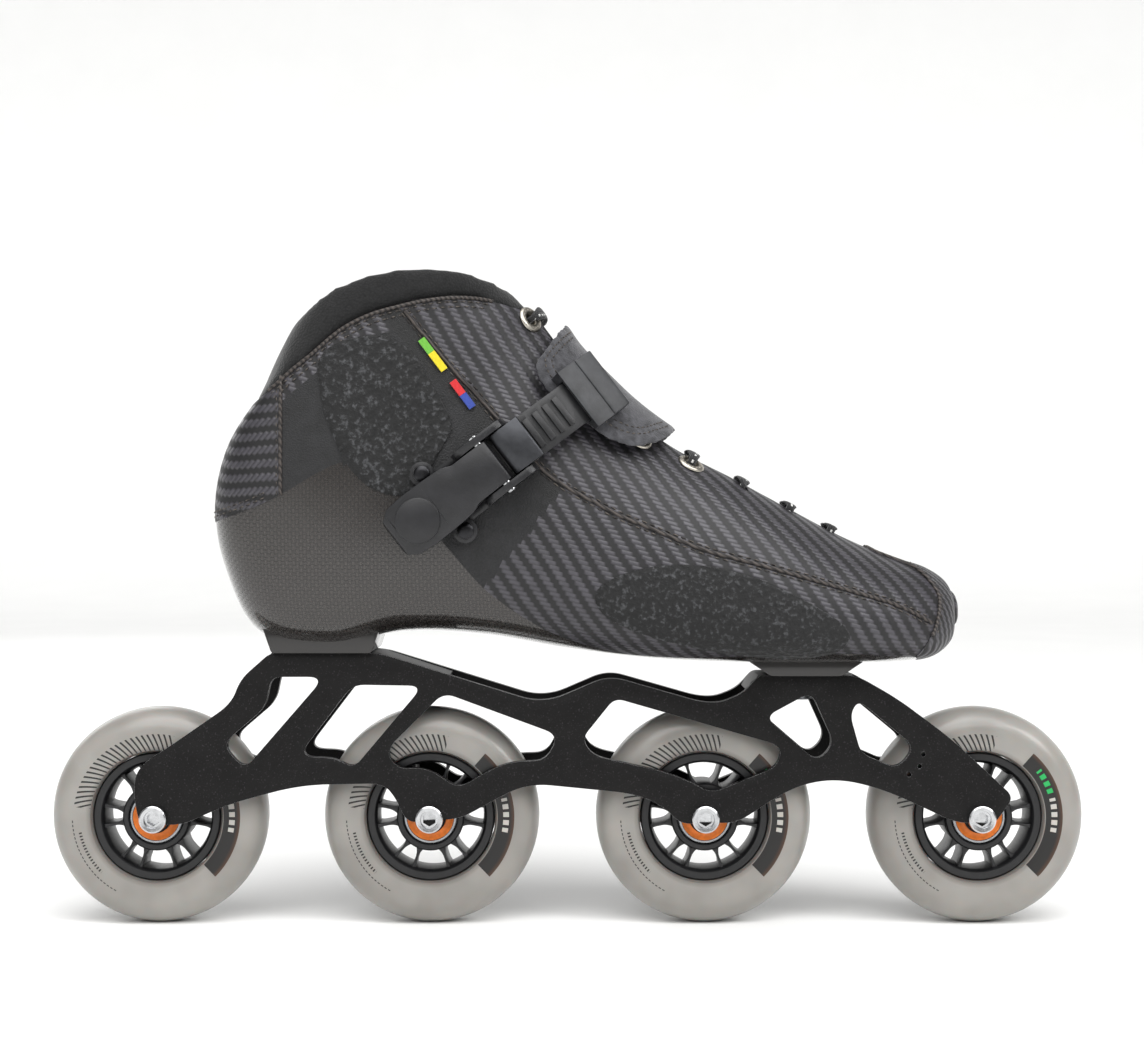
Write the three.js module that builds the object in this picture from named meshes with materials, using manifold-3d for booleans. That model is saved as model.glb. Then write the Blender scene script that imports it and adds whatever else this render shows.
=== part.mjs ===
// Inline speed skate: carbon boot, aluminium chassis, four wheels on bearings, ratchet instep strap.
// Millimetres. +X points to the toe, +Z up, and -Y to the outer side of the foot.
// The origin lies on the ground under the rear axle, in the middle plane of the wheels.
import * as THREE from 'three';
import { mergeVertices } from 'three/addons/utils/BufferGeometryUtils.js';
import { ParametricGeometry } from 'three/addons/geometries/ParametricGeometry.js';
import Module from 'manifold-3d';

const wasm = await Module();
wasm.setup();

// Fits
const gap = 0.3;                // between pieces that touch or run on each other
const seamWidth = 0.3;          // between two panels of the boot
const slip = 0.6;               // round a strap, lever or pawl that moves

// Wheels
const wheelDiameter = 90;
const wheelWidth = 24;
const axlePitch = 113.7;
const wheelCount = 4;
const crownFlat = 2;            // half width of the flat crown that meets the ground
const tyreBore = 26.8;          // radius
const rimInside = 22.4;         // radius
const coreOutside = 14;         // radius
const spokeThickness = 1.4;
const spokePairs = 6;
const smallWindowAngle = 22;    // degrees between the two spokes of a pair
const tyreSides = 24;
const hubSides = 24;

// Bearings and axles
const bearingOutside = 11;      // radius
const bearingWidth = 7;
const sealInside = 6.3;         // radius
const raceOutside = 6;          // radius
const axleRadius = 3.75;
const axleHeadRadius = 5.65;
const axleHeadHeight = 2.9;
const axleSocket = 2.9;         // corner radius of the hex socket
const bearingSides = 16;

// Chassis
const plateThickness = 4;
const plateClearance = 1.3;     // between a tyre's side and a plate
const bossRadius = 8;
const bossFace = 6.5;           // radius of the raised face on the inner race
const deckOverWheel = 8;        // from the top of a wheel to the underside of the front deck
const deckThickness = 6;
const deckStep = 9.4;           // the rear deck stands this much higher
const mountSpacing = 199;
const rearMountFromAxle = 69.5;
const mountBoltRadius = 3;
const mountSlotLength = 16;
const mountHeadRadius = 5.5;
const mountHeadHeight = 4.6;
const boltGrip = 5;             // of the rear bolt in the boot
const toeGrip = 6;              // of the front bolt in the boot

// Boot
const wallThickness = 3;
const soleSeam = -1.2;          // top of the shell's plate under the forefoot, from the heel mount
const collarPadding = 6.4;
const tongueDepth = 7;          // from the outside of the upper to the top of the tongue
const tongueThickness = 4;
const insoleThickness = 4;
const laceRadius = 1.2;
const laceHole = 2.4;           // radius
const eyeletRadius = 5.8;
const eyeletThickness = 0.8;
const blockWidth = 42;

// Instep strap
const padLift = 5;              // from the upper to the underside of the instep pad
const padThickness = 2.6;
const strapWidth = 18.3;
const strapThickness = 1.8;
const toothPitch = 5;
const toothHeight = 1;
const strapRadius = 100;        // of the arc that the strap slides on
const strapAngle = 37.5;        // degrees above level, towards the instep
const strapCentre = [71.4, 76.8];     // where the lever pin lies, from the heel mount
const strapOut = 45.6;          // from the boot's middle to the strap
const buckleWidth = 25;
const earThickness = 2.75;
const leverLength = 49;
const leverPinRadius = 2;
const leverPinHeight = 6.5;     // over the underside of the strap
const pawlPinRadius = 1.5;
const pawlPin = [9.5, 6.3];     // along the strap and over it
const rivetRadius = 2;
const rivetAlong = -24.8;       // from the lever pin
const rivetAcross = 14.2;
const anchorAlong = -13;        // from the lever pin
const anchorSeat = 40.6;        // from the boot's middle to the anchor screw's seat

const axleHeight = wheelDiameter / 2;
const innerHalf = wheelWidth / 2 + plateClearance;
const outerHalf = innerHalf + plateThickness;
const frontDeck = wheelDiameter + deckOverWheel + deckThickness;
const rearDeck = frontDeck + deckStep;
const frontMount = rearMountFromAxle + mountSpacing;
const axles = Array.from({ length: wheelCount }, (_, i) => i * axlePitch);
const degrees = Math.PI / 180;
const far = 400;                // past the whole boot, for bodies that cut right through

const object = new THREE.Group();

// ---- Making solids ----

// A closed body ready for cutting and joining.
function solid(geometry) {
  const bare = geometry.clone();
  bare.deleteAttribute('normal');
  bare.deleteAttribute('uv');
  const merged = mergeVertices(bare, 1e-4);
  const corners = merged.index.array;
  const triangles = [];
  for (let i = 0; i < corners.length; i += 3) {
    const [a, b, c] = corners.slice(i, i + 3);
    if (a !== b && b !== c && c !== a) triangles.push(a, b, c);
  }
  const vertProperties = new Float32Array(merged.attributes.position.array);
  const body = (triVerts) => new wasm.Manifold(new wasm.Mesh({ numProp: 3, vertProperties, triVerts }));
  const made = body(new Uint32Array(triangles));
  return made.volume() > 0 ? made : body(new Uint32Array(triangles.reverse()));
}

function add(name, body, color, roughness, metalness = 0, parent = object) {
  const { vertProperties, triVerts } = body.getMesh();
  const geometry = new THREE.BufferGeometry();
  geometry.setAttribute('position', new THREE.BufferAttribute(vertProperties, 3));
  geometry.setIndex(new THREE.BufferAttribute(triVerts, 1));
  const mesh = new THREE.Mesh(geometry, new THREE.MeshStandardMaterial({ color, roughness, metalness }));
  mesh.name = name;
  parent.add(mesh);
  return mesh;
}

// An outline from corners [x, z, run]; each corner is rounded from that far before it to that far past it.
function outline(corners, Kind = THREE.Shape) {
  const path = new Kind();
  corners.forEach(([x, z, run], i) => {
    const corner = new THREE.Vector2(x, z);
    const towards = ([otherX, otherZ]) => {
      const way = new THREE.Vector2(otherX - x, otherZ - z);
      return way.setLength(Math.min(run, 0.48 * way.length())).add(corner);
    };
    const start = towards(corners.at(i - 1));
    const end = towards(corners[(i + 1) % corners.length]);
    if (i === 0) path.moveTo(start.x, start.y);
    else path.lineTo(start.x, start.y);
    if (run > 0) path.quadraticCurveTo(x, z, end.x, end.y);
  });
  path.closePath();
  return path;
}

// A side-view outline as a body between two Y planes.
function slab(shape, fromY, toY, curveSegments = 2) {
  const settings = { depth: toY - fromY, bevelEnabled: false, curveSegments };
  const geometry = new THREE.ExtrudeGeometry(shape, settings);
  geometry.rotateX(Math.PI / 2);
  geometry.translate(0, toY, 0);
  return solid(geometry);
}

// A plan-view outline as a body between two heights.
function column(shape, fromZ, toZ, curveSegments = 2) {
  const settings = { depth: toZ - fromZ, bevelEnabled: false, curveSegments };
  const geometry = new THREE.ExtrudeGeometry(shape, settings);
  geometry.translate(0, 0, fromZ);
  return solid(geometry);
}

// A turned body about the Y axis from a profile of [radius, y].
function turned(profile, sides) {
  const points = profile.map(([radius, y]) => new THREE.Vector2(radius, y));
  return solid(new THREE.LatheGeometry(points, sides, Math.PI / sides));
}

// A ring or a washer about the Y axis.
function ring(inside, outside, fromY, toY, sides) {
  const section = [[inside, fromY], [outside, fromY], [outside, toY], [inside, toY], [inside, fromY]];
  return turned(section, sides);
}

function rod(radius, fromY, toY, sides) {
  return turned([[0, fromY], [radius, fromY], [radius, toY], [0, toY]], sides);
}

// ---- Chassis ----

// Stretches a pattern value between anchors, so that it stays in place between what it lies between.
function spread(value, pattern, real) {
  let i = 1;
  while (i < pattern.length - 1 && value > pattern[i]) i += 1;
  const share = (value - pattern[i - 1]) / (pattern[i] - pattern[i - 1]);
  return THREE.MathUtils.lerp(real[i - 1], real[i], share);
}

const station = (x) => spread(x, [-170.5, -101, -56.8, 56.8, 98, 170.5],
  [axles[0], rearMountFromAxle, axles[1], axles[2], frontMount, axles[3]]);
const level = (z) => spread(z, [45, 104, 113.4], [axleHeight, frontDeck, rearDeck]);
const plate = (corners) => corners.map(([x, z, run = 0]) => [station(x), level(z), run]);

// Corners of the side plates, measured from the middle of the wheelbase.
const plateTop = plate([
  [-165.5, 73.8, 8], [-138.5, 92.5, 7], [-134.8, 102.5, 5], [-122.5, 113.4, 3], [-78, 113.4, 5],
  [-10, 92.4, 10], [17, 104, 7], [60, 91.8, 10], [72, 96.5, 4], [79, 104, 2],
  [119.5, 104, 5], [136, 94.6, 8], [157.5, 78.6, 8], [184, 54, 4],
]);
const plateUnderside = plate([
  [176, 43, 3], [160, 43.5, 5], [131, 57, 12], [111, 61.8, 14], [93, 58.4, 12], [70, 43.5, 5],
  [46.5, 43, 4], [40, 50, 6], [28, 55.4, 10], [-17, 59.8, 10], [-44, 45.2, 5],
  [-66, 43.5, 4], [-71, 54, 5], [-76, 59.6, 6], [-110, 59, 12], [-140, 51, 10], [-158, 42.8, 5],
  [-176, 42, 4], [-178.4, 52, 6], [-178.4, 63, 6], [-173.4, 69, 5],
]);
const plateWindows = [
  [[-122, 103.5, 4], [-100, 103.5, 7], [-133, 65.5, 5], [-142.5, 75.5, 6], [-124.5, 91, 5]],
  [[-88.5, 100.3, 5], [-59.5, 99.8, 6], [-88, 66, 4], [-96, 70, 4], [-111, 70.8, 7]],
  [[-51, 97, 5], [-3.5, 79.5, 6], [-9, 69, 5], [-26, 68.5, 10], [-45, 57.5, 5], [-58, 66.2, 6],
    [-70, 65.5, 5], [-75, 73, 6]],
  [[19.5, 94.8, 4], [88.5, 75, 6], [86.5, 66.5, 5], [59.5, 55.5, 5], [44, 63.5, 10], [10.5, 71, 6],
    [6, 78, 4]],
  [[100.5, 97.3, 5], [110, 76, 5], [103, 68.5, 5], [81.5, 87, 5]],
  [[120, 94, 5], [143.5, 74.5, 6], [136, 65.5, 5], [121, 72, 4], [116.5, 88, 4]],
];
const pinholes = [[146.6, 71.7], [145.1, 66.7], [140.8, 63.3]];

// The open channel between the plates, with the two decks left as its roof.
function channel() {
  const past = 60;
  const high = rearDeck + 10;
  const roof = plate([[-128, 105.5], [-121, 107.4], [-79, 107.4], [-49, 99]]);
  const under = frontDeck - deckThickness;
  const left = axles[0] - past;
  const right = axles[3] + past;
  return outline([
    [left, -1, 0], [left, high, 0], [roof[0][0], high, 0], ...roof, [roof[3][0], high, 0],
    [station(74), high, 0], [station(74), under, 0], [station(119), under, 0],
    [station(129), level(93), 0], [station(129), high, 0], [right, high, 0], [right, -1, 0],
  ]);
}

function slot(x, length, radius) {
  const straight = length / 2 - radius;
  const shape = new THREE.Shape();
  shape.absarc(x + straight, 0, radius, -Math.PI / 2, Math.PI / 2);
  shape.absarc(x - straight, 0, radius, Math.PI / 2, 1.5 * Math.PI);
  return column(shape, axleHeight, rearDeck + 1, 3);
}

function chassis() {
  const shape = outline([...plateTop, ...plateUnderside]);
  shape.holes = plateWindows.map((window) => outline(plate(window).reverse(), THREE.Path));
  let body = slab(shape, -outerHalf, outerHalf);
  for (const x of axles) {
    const boss = rod(bossRadius, -outerHalf, outerHalf, 16);
    body = body.add(boss.translate([x, 0, axleHeight]));
  }
  body = body.subtract(slab(channel(), -innerHalf, innerHalf));
  const race = wheelWidth / 2 + gap;
  for (const x of axles) {
    for (const side of [-1, 1]) {
      const [near, far] = [side * race, side * (innerHalf + 0.5)].sort((a, b) => a - b);
      body = body.add(rod(bossFace, near, far, 12).translate([x, 0, axleHeight]));
    }
    const bore = rod(axleRadius + gap, -outerHalf - 1, outerHalf + 1, 12);
    body = body.subtract(bore.translate([x, 0, axleHeight]));
  }
  for (const [x, z] of pinholes) {
    const hole = rod(1, -outerHalf - 1, outerHalf + 1, 6);
    body = body.subtract(hole.translate([station(x), 0, level(z)]));
  }
  for (const x of [rearMountFromAxle, frontMount]) {
    body = body.subtract(slot(x, mountSlotLength, mountBoltRadius + gap));
  }
  return body;
}

// A bolt from under a deck up into the boot's mounting block.
function mountBolt(x, deck, grip) {
  const head = deck - deckThickness - gap;
  const profile = [
    [0, head - mountHeadHeight], [mountHeadRadius, head - mountHeadHeight], [mountHeadRadius, head],
    [mountBoltRadius, head], [mountBoltRadius, deck + grip], [0, deck + grip],
  ];
  const body = turned(profile, 16).rotate([90, 0, 0]);
  return body.translate([x, 0, 0]);
}

// ---- Wheels ----

// The crown is a round arch between the two side faces, with a flat band that rolls on the ground.
function tyre() {
  const shoulder = 0.755 * axleHeight;
  const half = wheelWidth / 2;
  const flat = Math.asin(crownFlat / half);
  const angles = [-90 * degrees, -62 * degrees, -34 * degrees, -flat, flat, 34 * degrees, 62 * degrees,
    90 * degrees];
  const facet = 1 / Math.cos(Math.PI / tyreSides);
  const crown = angles.map((angle) => {
    const rise = Math.min(1, Math.max(0, Math.cos(angle)) / Math.cos(flat)) ** 0.8;
    return [(shoulder + (axleHeight - shoulder) * rise) * facet, half * Math.sin(angle)];
  });
  const edge = half - 1.6;
  return turned([[tyreBore, -edge], ...crown, [tyreBore, edge], [tyreBore, -edge]], tyreSides);
}

function hub() {
  const half = wheelWidth / 2;
  const rim = ring(rimInside, tyreBore - gap, -half + 2, half - 2, hubSides);
  const seat = bearingOutside + gap;
  const shoulder = half - bearingWidth - gap;
  const core = turned([
    [seat, -half], [coreOutside, -half], [coreOutside, half], [seat, half], [seat, shoulder],
    [seat - 1.6, shoulder], [seat - 1.6, -shoulder], [seat, -shoulder], [seat, -half],
  ], bearingSides);
  const spoke = new THREE.BoxGeometry(rimInside - coreOutside + 1.6, wheelWidth - 6, spokeThickness);
  spoke.translate((rimInside + coreOutside) / 2, 0, 0);
  const arm = solid(spoke);
  let body = rim.add(core);
  for (let i = 0; i < spokePairs; i += 1) {
    for (const side of [-1, 1]) {
      const angle = i * 360 / spokePairs + side * smallWindowAngle / 2;
      body = body.add(arm.rotate([0, angle, 0]));
    }
  }
  return body;
}

// The outer race with the seal that is pressed into it, its seal towards +Y.
function outerRace() {
  const half = bearingWidth / 2;
  const race = bearingOutside - 1.6;
  return turned([
    [race, -half], [bearingOutside, -half], [bearingOutside, half], [sealInside, half],
    [sealInside, half - 0.8], [race, half - 0.8], [race, -half],
  ], bearingSides);
}

function axleBolt() {
  const face = outerHalf + gap;
  const head = face + axleHeadHeight;
  const bolt = turned([
    [0, -head], [axleHeadRadius - 0.5, -head], [axleHeadRadius, -head + 0.5], [axleHeadRadius, -face],
    [axleRadius, -face], [axleRadius, outerHalf + 0.7], [0, outerHalf + 0.7],
  ], 16);
  return bolt.subtract(rod(axleSocket, -head - 1, -head + 2.2, 6));
}

function wheels() {
  const tyreBody = tyre();
  const hubBody = hub();
  const raceBody = outerRace();
  const innerBody = ring(axleRadius + gap, raceOutside, -bearingWidth / 2, bearingWidth / 2, bearingSides);
  const inset = wheelWidth / 2 - bearingWidth / 2;
  const spacer = ring(axleRadius + gap, raceOutside, bearingWidth + gap - wheelWidth / 2,
    wheelWidth / 2 - bearingWidth - gap, 12);
  axles.forEach((x, i) => {
    const wheel = new THREE.Group();
    wheel.position.set(x, 0, axleHeight);
    object.add(wheel);
    const number = i + 1;
    add(`tyre_${number}`, tyreBody, 0xcfcdca, 0.35, 0, wheel);
    add(`hub_${number}`, hubBody, 0x17171a, 0.4, 0, wheel);
    for (const [side, way] of [['outer', -1], ['inner', 1]]) {
      const seal = way > 0 ? raceBody : raceBody.mirror([0, 1, 0]);
      const outer = seal.translate([0, way * inset, 0]);
      const inner = innerBody.translate([0, way * inset, 0]);
      add(`bearing_${number}_${side}_race`, outer, 0xd8702a, 0.35, 0.4, wheel);
      add(`bearing_${number}_${side}_bore`, inner, 0xb8babd, 0.25, 1, wheel);
    }
    add(`bearing_spacer_${number}`, spacer, 0xa5a7aa, 0.3, 1, wheel);
    add(`axle_bolt_${number}`, axleBolt(), 0xc4c5c8, 0.25, 1, wheel);
  });
}

// ---- Boot surface ----

// Cross-sections from the toe tip, back along the foot, round the heel and up to the collar. Each has its
// top point, its sole or heel point, its half width, its shift to the inner side of the foot, how high its
// widest place lies, and how far its middle bows out of its plane. Measured from the heel mount.
const sections = [
  { top: [262.5, 25], base: [262.5, 10], half: 15, shift: 9, wide: 0.42, bow: 0 },
  { top: [259, 30], base: [260, 3.6], half: 26, shift: 8, wide: 0.4, bow: 0 },
  { top: [251, 35], base: [252, -2], half: 35.5, shift: 6.5, wide: 0.36, bow: 0 },
  { top: [236, 39.6], base: [237, -3.9], half: 44, shift: 5, wide: 0.34, bow: 0 },
  { top: [216, 48], base: [217, -4.1], half: 49.5, shift: 3, wide: 0.32, bow: 0 },
  { top: [193, 60], base: [193, -4.1], half: 51, shift: 1, wide: 0.3, bow: 0 },
  { top: [169, 73], base: [165, -3.8], half: 48, shift: 0, wide: 0.3, bow: 0 },
  { top: [147, 84.5], base: [135, -2.4], half: 43.5, shift: 0, wide: 0.32, bow: 0 },
  { top: [128, 98], base: [101, 1.6], half: 41, shift: 0, wide: 0.36, bow: 0 },
  { top: [112, 113], base: [66, 7.4], half: 40.5, shift: 0, wide: 0.4, bow: 0 },
  { top: [101, 124.5], base: [33, 8.6], half: 41, shift: 0, wide: 0.42, bow: 0 },
  { top: [95.5, 132.5], base: [1, 2.6], half: 41.5, shift: 0, wide: 0.42, bow: 0 },
  { top: [92, 137.5], base: [-27, 8.6], half: 42, shift: 0, wide: 0.44, bow: 1 },
  { top: [89.5, 141], base: [-41, 34.6], half: 42.5, shift: 0, wide: 0.46, bow: 2.5 },
  { top: [87, 144.1], base: [-45, 58.6], half: 42.5, shift: 0, wide: 0.48, bow: 5 },
  { top: [84, 146.4], base: [-40, 82.6], half: 42, shift: 0, wide: 0.48, bow: 8 },
  { top: [82, 148.2], base: [-27, 102.6], half: 41, shift: 0, wide: 0.48, bow: 10.5 },
  { top: [80.4, 149.4], base: [-17.5, 121.6], half: 40.5, shift: 0, wide: 0.48, bow: 12.5 },
  { top: [79, 150.6], base: [-11, 133.6], half: 40, shift: 0, wide: 0.48, bow: 13.5 },
];
const ridge = new THREE.CatmullRomCurve3(
  sections.map(({ top, shift }) => new THREE.Vector3(top[0], shift, top[1])));
const keel = new THREE.CatmullRomCurve3(
  sections.map(({ base, shift }) => new THREE.Vector3(base[0], shift, base[1])));
const form = new THREE.CatmullRomCurve3(
  sections.map(({ half, wide, bow }) => new THREE.Vector3(half, wide, bow)));
const instepPower = 2.15;
const solePower = 3.1;

// A point of the boot: along runs from 0 at the toe tip to 1 at the collar; the angle is 0 on the instep
// line, 90 degrees on the outer side and 180 under the sole; the offset grows or shrinks the boot.
function bootPoint(along, angle, offset) {
  const base = keel.getPoint(along);
  const up = ridge.getPoint(along).sub(base);
  const { x: half, y: wide, z: bow } = form.getPoint(along);
  const length = up.length();
  up.normalize();
  const lift = Math.cos(angle);
  const reach = Math.abs(Math.sin(angle));
  const power = lift > 0 ? instepPower : solePower;
  const share = lift > 0 ? wide + (1 - wide) * lift ** (2 / power) : wide - wide * (-lift) ** (2 / power);
  const point = base.addScaledVector(up, share * (length + 2 * offset) - offset);
  point.y -= Math.sign(Math.sin(angle)) * (half + offset) * reach ** (2 / power);
  const forward = new THREE.Vector3(-up.z, 0, up.x);
  return point.addScaledVector(forward, bow * reach * reach);
}

// A closed body over a row of rings with the same number of points; each end closes on its middle.
function loft(rings) {
  const middle = (points) => {
    const sum = points.reduce((total, point) => total.add(point), new THREE.Vector3());
    const centre = sum.divideScalar(points.length);
    return points.map(() => centre);
  };
  const rows = [middle(rings[0]), ...rings, middle(rings.at(-1))];
  const sides = rings[0].length;
  const surface = (u, v, target) => {
    const row = rows[Math.round(v * (rows.length - 1))];
    target.copy(row[Math.round(u * sides) % sides]);
  };
  return solid(new ParametricGeometry(surface, sides, rows.length - 1));
}

// The boot grown by an offset, from a station to the collar, and past the collar where it cuts an opening.
function bootBody(offset, from = 0, past = 0, rings = 16, sides = 22) {
  const rows = [];
  for (let i = 0; i <= rings; i += 1) {
    const along = THREE.MathUtils.lerp(from, 1, i / rings);
    rows.push(Array.from({ length: sides }, (_, j) => bootPoint(along, 2 * Math.PI * j / sides, offset)));
  }
  if (past > 0) {
    const away = new THREE.Vector3(-0.18, 0, 0.98).multiplyScalar(past);
    rows.push(rows.at(-1).map((point) => point.clone().add(away)));
  }
  return loft(rows);
}

// The space over a line of points, or under it, right through the boot.
function over(line, lift = 0) {
  const points = line.map(([x, z]) => [x + 0.4 * lift, z + lift, 0]);
  return slab(outline([...points, [points.at(-1)[0], far, 0], [points[0][0], far, 0]]), -far, far);
}

const shellSeam = [
  [-90, 44], [-46, 53.5], [-26.5, 59.2], [-12.3, 65.7], [-1.3, 72.2], [9.6, 77.4], [18, 77.6], [26, 74.3],
  [34, 67.5], [45, 53.5], [57.3, 38.5], [67.1, 27.5], [78.1, 18.9], [93, 9.8], [110, 3.4], [124, 0],
  [140, soleSeam], [243, soleSeam], [252, -9], [300, -9],
];
const collarSeam = [
  [-60, 80], [-19.2, 106.4], [-8.6, 115.4], [-1.2, 121.2], [9.9, 130.6], [21, 136.5], [32.4, 140],
  [48.8, 143.7], [65.2, 144.5], [81.6, 141.4], [130, 129],
];
const rearSeam = [[-13.8, far, 0], [-13.8, -far, 0], [-far, -far, 0], [-far, far, 0]];
const capSeam = [
  [225.9, far, 0], [225.9, 42.4, 4], [246, 35, 5], [253.5, 24, 4], [250.5, 11, 4], [236, -12, 0],
  [236, -far, 0], [far, -far, 0], [far, far, 0],
];

// Moves an outline sideways for the other side of a seam.
const beside = (corners, shift) => corners.map(([x, z, run]) => [x + shift, z, run]);

// ---- Lacing ----

// Each row of lace holes: its station along the boot and its distance from the instep line.
const laceRows = [
  { along: 0.715, distance: 17, metal: true }, { along: 0.568, distance: 20 },
  { along: 0.432, distance: 22, metal: true }, { along: 0.375, distance: 18, metal: true },
  { along: 0.323, distance: 15.5 }, { along: 0.278, distance: 13.5 }, { along: 0.236, distance: 11 },
];

// The angle at which a point of a section lies a distance along the surface from the instep line.
function fromRidge(along, distance) {
  const step = 0.5 * degrees;
  let travelled = 0;
  let angle = 0;
  let point = bootPoint(along, 0, 0);
  while (travelled < distance) {
    angle += step;
    const next = bootPoint(along, angle, 0);
    travelled += next.distanceTo(point);
    point = next;
  }
  return angle;
}

// A point that stands off the boot's outside along the surface's own normal.
function offBoot(along, angle, offset) {
  const step = 0.01;
  const lengthwise = bootPoint(along + step, angle, 0).sub(bootPoint(along - step, angle, 0));
  const round = bootPoint(along, angle + step, 0).sub(bootPoint(along, angle - step, 0));
  return bootPoint(along, angle, 0).addScaledVector(lengthwise.cross(round).normalize(), offset);
}

const lacing = laceRows.map(({ along, distance, metal = false }) => {
  const angle = fromRidge(along, distance);
  const place = (side, offset, share = 1) => offBoot(along, side * angle * share, offset);
  return { along, angle, place, metal };
});

// Stands a body that was made along the Y axis on a lace hole, its +Y end outwards.
function onHole(body, { place }, side) {
  const centre = place(side, 0);
  const outward = place(side, 5).sub(centre).normalize();
  const turn = new THREE.Quaternion().setFromUnitVectors(new THREE.Vector3(0, 1, 0), outward);
  const matrix = new THREE.Matrix4().compose(centre, turn, new THREE.Vector3(1, 1, 1));
  return body.transform(matrix.elements);
}

function laceHoleRadius({ metal }) {
  return metal ? laceHole + eyeletThickness + gap : laceHole;
}

function eyelet() {
  const top = gap + eyeletThickness;
  const barrel = laceHole + eyeletThickness;
  return turned([
    [laceHole, -wallThickness], [barrel, -wallThickness], [barrel, gap], [eyeletRadius, gap],
    [eyeletRadius, top], [laceHole, top], [laceHole, -wallThickness],
  ], 10);
}

// The lace crosses the throat at each row, and runs up under the upper to the next row.
function lace() {
  const under = -wallThickness - laceRadius - 3 * gap;
  const route = [];
  const rows = [...lacing].reverse();
  let side = 1;
  rows.forEach(({ along, angle, place, metal }, i) => {
    const above = laceRadius + 2 * gap + (metal ? eyeletThickness + gap : 0);
    route.push(place(side, under), place(side, -wallThickness / 2), place(side, above));
    route.push(place(side, above, 0.6), place(side, laceRadius, 0), place(-side, above, 0.6));
    route.push(place(-side, above), place(-side, -wallThickness / 2), place(-side, under));
    side = -side;
    const next = rows[i + 1];
    if (!next) return;
    for (const share of [1 / 3, 2 / 3]) {
      const towards = THREE.MathUtils.lerp(along, next.along, share);
      route.push(offBoot(towards, side * THREE.MathUtils.lerp(angle, next.angle, share), under));
    }
  });
  const path = new THREE.CatmullRomCurve3(route, false, 'catmullrom', 0.3);
  path.getUtoTmapping = (share) => share;
  const section = new THREE.Shape().absarc(0, 0, laceRadius, 0, 2 * Math.PI);
  const settings = { steps: route.length - 1, extrudePath: path, curveSegments: 3 };
  return solid(new THREE.ExtrudeGeometry(section, settings));
}

// ---- Boot ----

const boot = new THREE.Group();
boot.position.set(rearMountFromAxle, 0, rearDeck);
const throatCorners = [
  [70, -10, 6], [60, -10, 0], [60, 10, 0], [70, 10, 6], [120, 9, 10], [216, 4.5, 4], [221, 0, 4],
  [216, -4.5, 4], [120, -9, 10],
];
const tongueCorners = [[50, -24, 0], [50, 24, 0], [150, 22, 20], [212, 14, 8], [212, -14, 8], [150, -22, 20]];
const footbed = [
  [-60, 8], [1, 2.6], [33, 8.4], [66, 7.2], [101, 1.6], [135, -2.4], [165, -3.8], [217, -4.1], [236, -4],
  [242, -20], [300, -20],
];
const padCorners = [
  [116, 160, 0], [94, 129, 5], [86.5, 117, 4], [90, 108, 5], [103, 97, 0], [116, 87, 4], [127, 82.5, 6],
  [143, 87, 5], [149, 96, 4], [149, 150, 0],
];

// A mounting block that fills the space between the sole and a deck.
function block(centre, bottom, top, halfBottom, halfTop) {
  const [lower, upper] = [bottom + gap, top];
  const side = [
    [centre - halfBottom, lower, 0], [centre + halfBottom, lower, 0],
    [centre + halfTop, upper, 0], [centre - halfTop, upper, 0],
  ];
  return slab(outline(side), -blockWidth / 2, blockWidth / 2);
}

function upperBore(centre, deck, depth) {
  return rod(mountBoltRadius + gap, -depth - 1, depth, 12).rotate([90, 0, 0]).translate([centre, 0, deck]);
}

function bootPieces() {
  const outside = bootBody(0);
  const inside = bootBody(-wallThickness, 0.06, 40);
  const wall = outside.subtract(inside);
  const underShell = over(shellSeam);
  const overShell = over(shellSeam, seamWidth);
  const overCollar = over(collarSeam, seamWidth);
  const underCollar = over(collarSeam);
  const rear = slab(outline(rearSeam), -far, far);
  const rearEdge = slab(outline(beside(rearSeam, seamWidth)), -far, far);
  const cap = slab(outline(beside(capSeam, seamWidth)), -far, far);
  const capEdge = slab(outline(capSeam), -far, far);

  const heelBlock = block(0, 0, 12, 20.5, 27);
  const toeBlock = block(mountSpacing, -deckStep, soleSeam, 14.5, 22);
  let shell = wall.subtract(underShell).add(heelBlock.add(toeBlock).subtract(inside));
  shell = shell.subtract(upperBore(0, 0, boltGrip)).subtract(upperBore(mountSpacing, -deckStep, toeGrip));

  const throat = column(outline(throatCorners), 40, far);
  let upper = wall.intersect(overShell).subtract(underCollar).subtract(rearEdge).subtract(capEdge);
  upper = upper.subtract(throat);
  for (const row of lacing) {
    const punch = rod(laceHoleRadius(row), -8, 6, 10);
    for (const side of [-1, 1]) upper = upper.subtract(onHole(punch, row, side));
  }
  for (const side of [-1, 1]) upper = upper.subtract(rivetBody(side, gap));
  upper = upper.subtract(anchorScrew(gap));
  const rearPanel = wall.intersect(overShell).subtract(underCollar).intersect(rear);
  const toeCap = wall.intersect(overShell).intersect(cap);
  const collarInside = bootBody(-collarPadding, 0.3, 40, 14);
  const collar = bootBody(0).subtract(collarInside).intersect(overCollar).subtract(throat);

  const tongueSkin = bootBody(-tongueDepth, 0.12, 0, 16).subtract(bootBody(-tongueDepth - tongueThickness,
    0.12, 40, 16));
  const tongue = tongueSkin.intersect(column(outline(tongueCorners), 30, far));
  const bed = footbed.map(([x, z]) => [x, z + wallThickness + gap + insoleThickness]);
  const insole = bootBody(-wallThickness - gap, 0.06).subtract(over(bed));
  return { shell, upper, rearPanel, toeCap, collar, tongue, insole };
}

// ---- Instep strap and ratchet buckle ----

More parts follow.
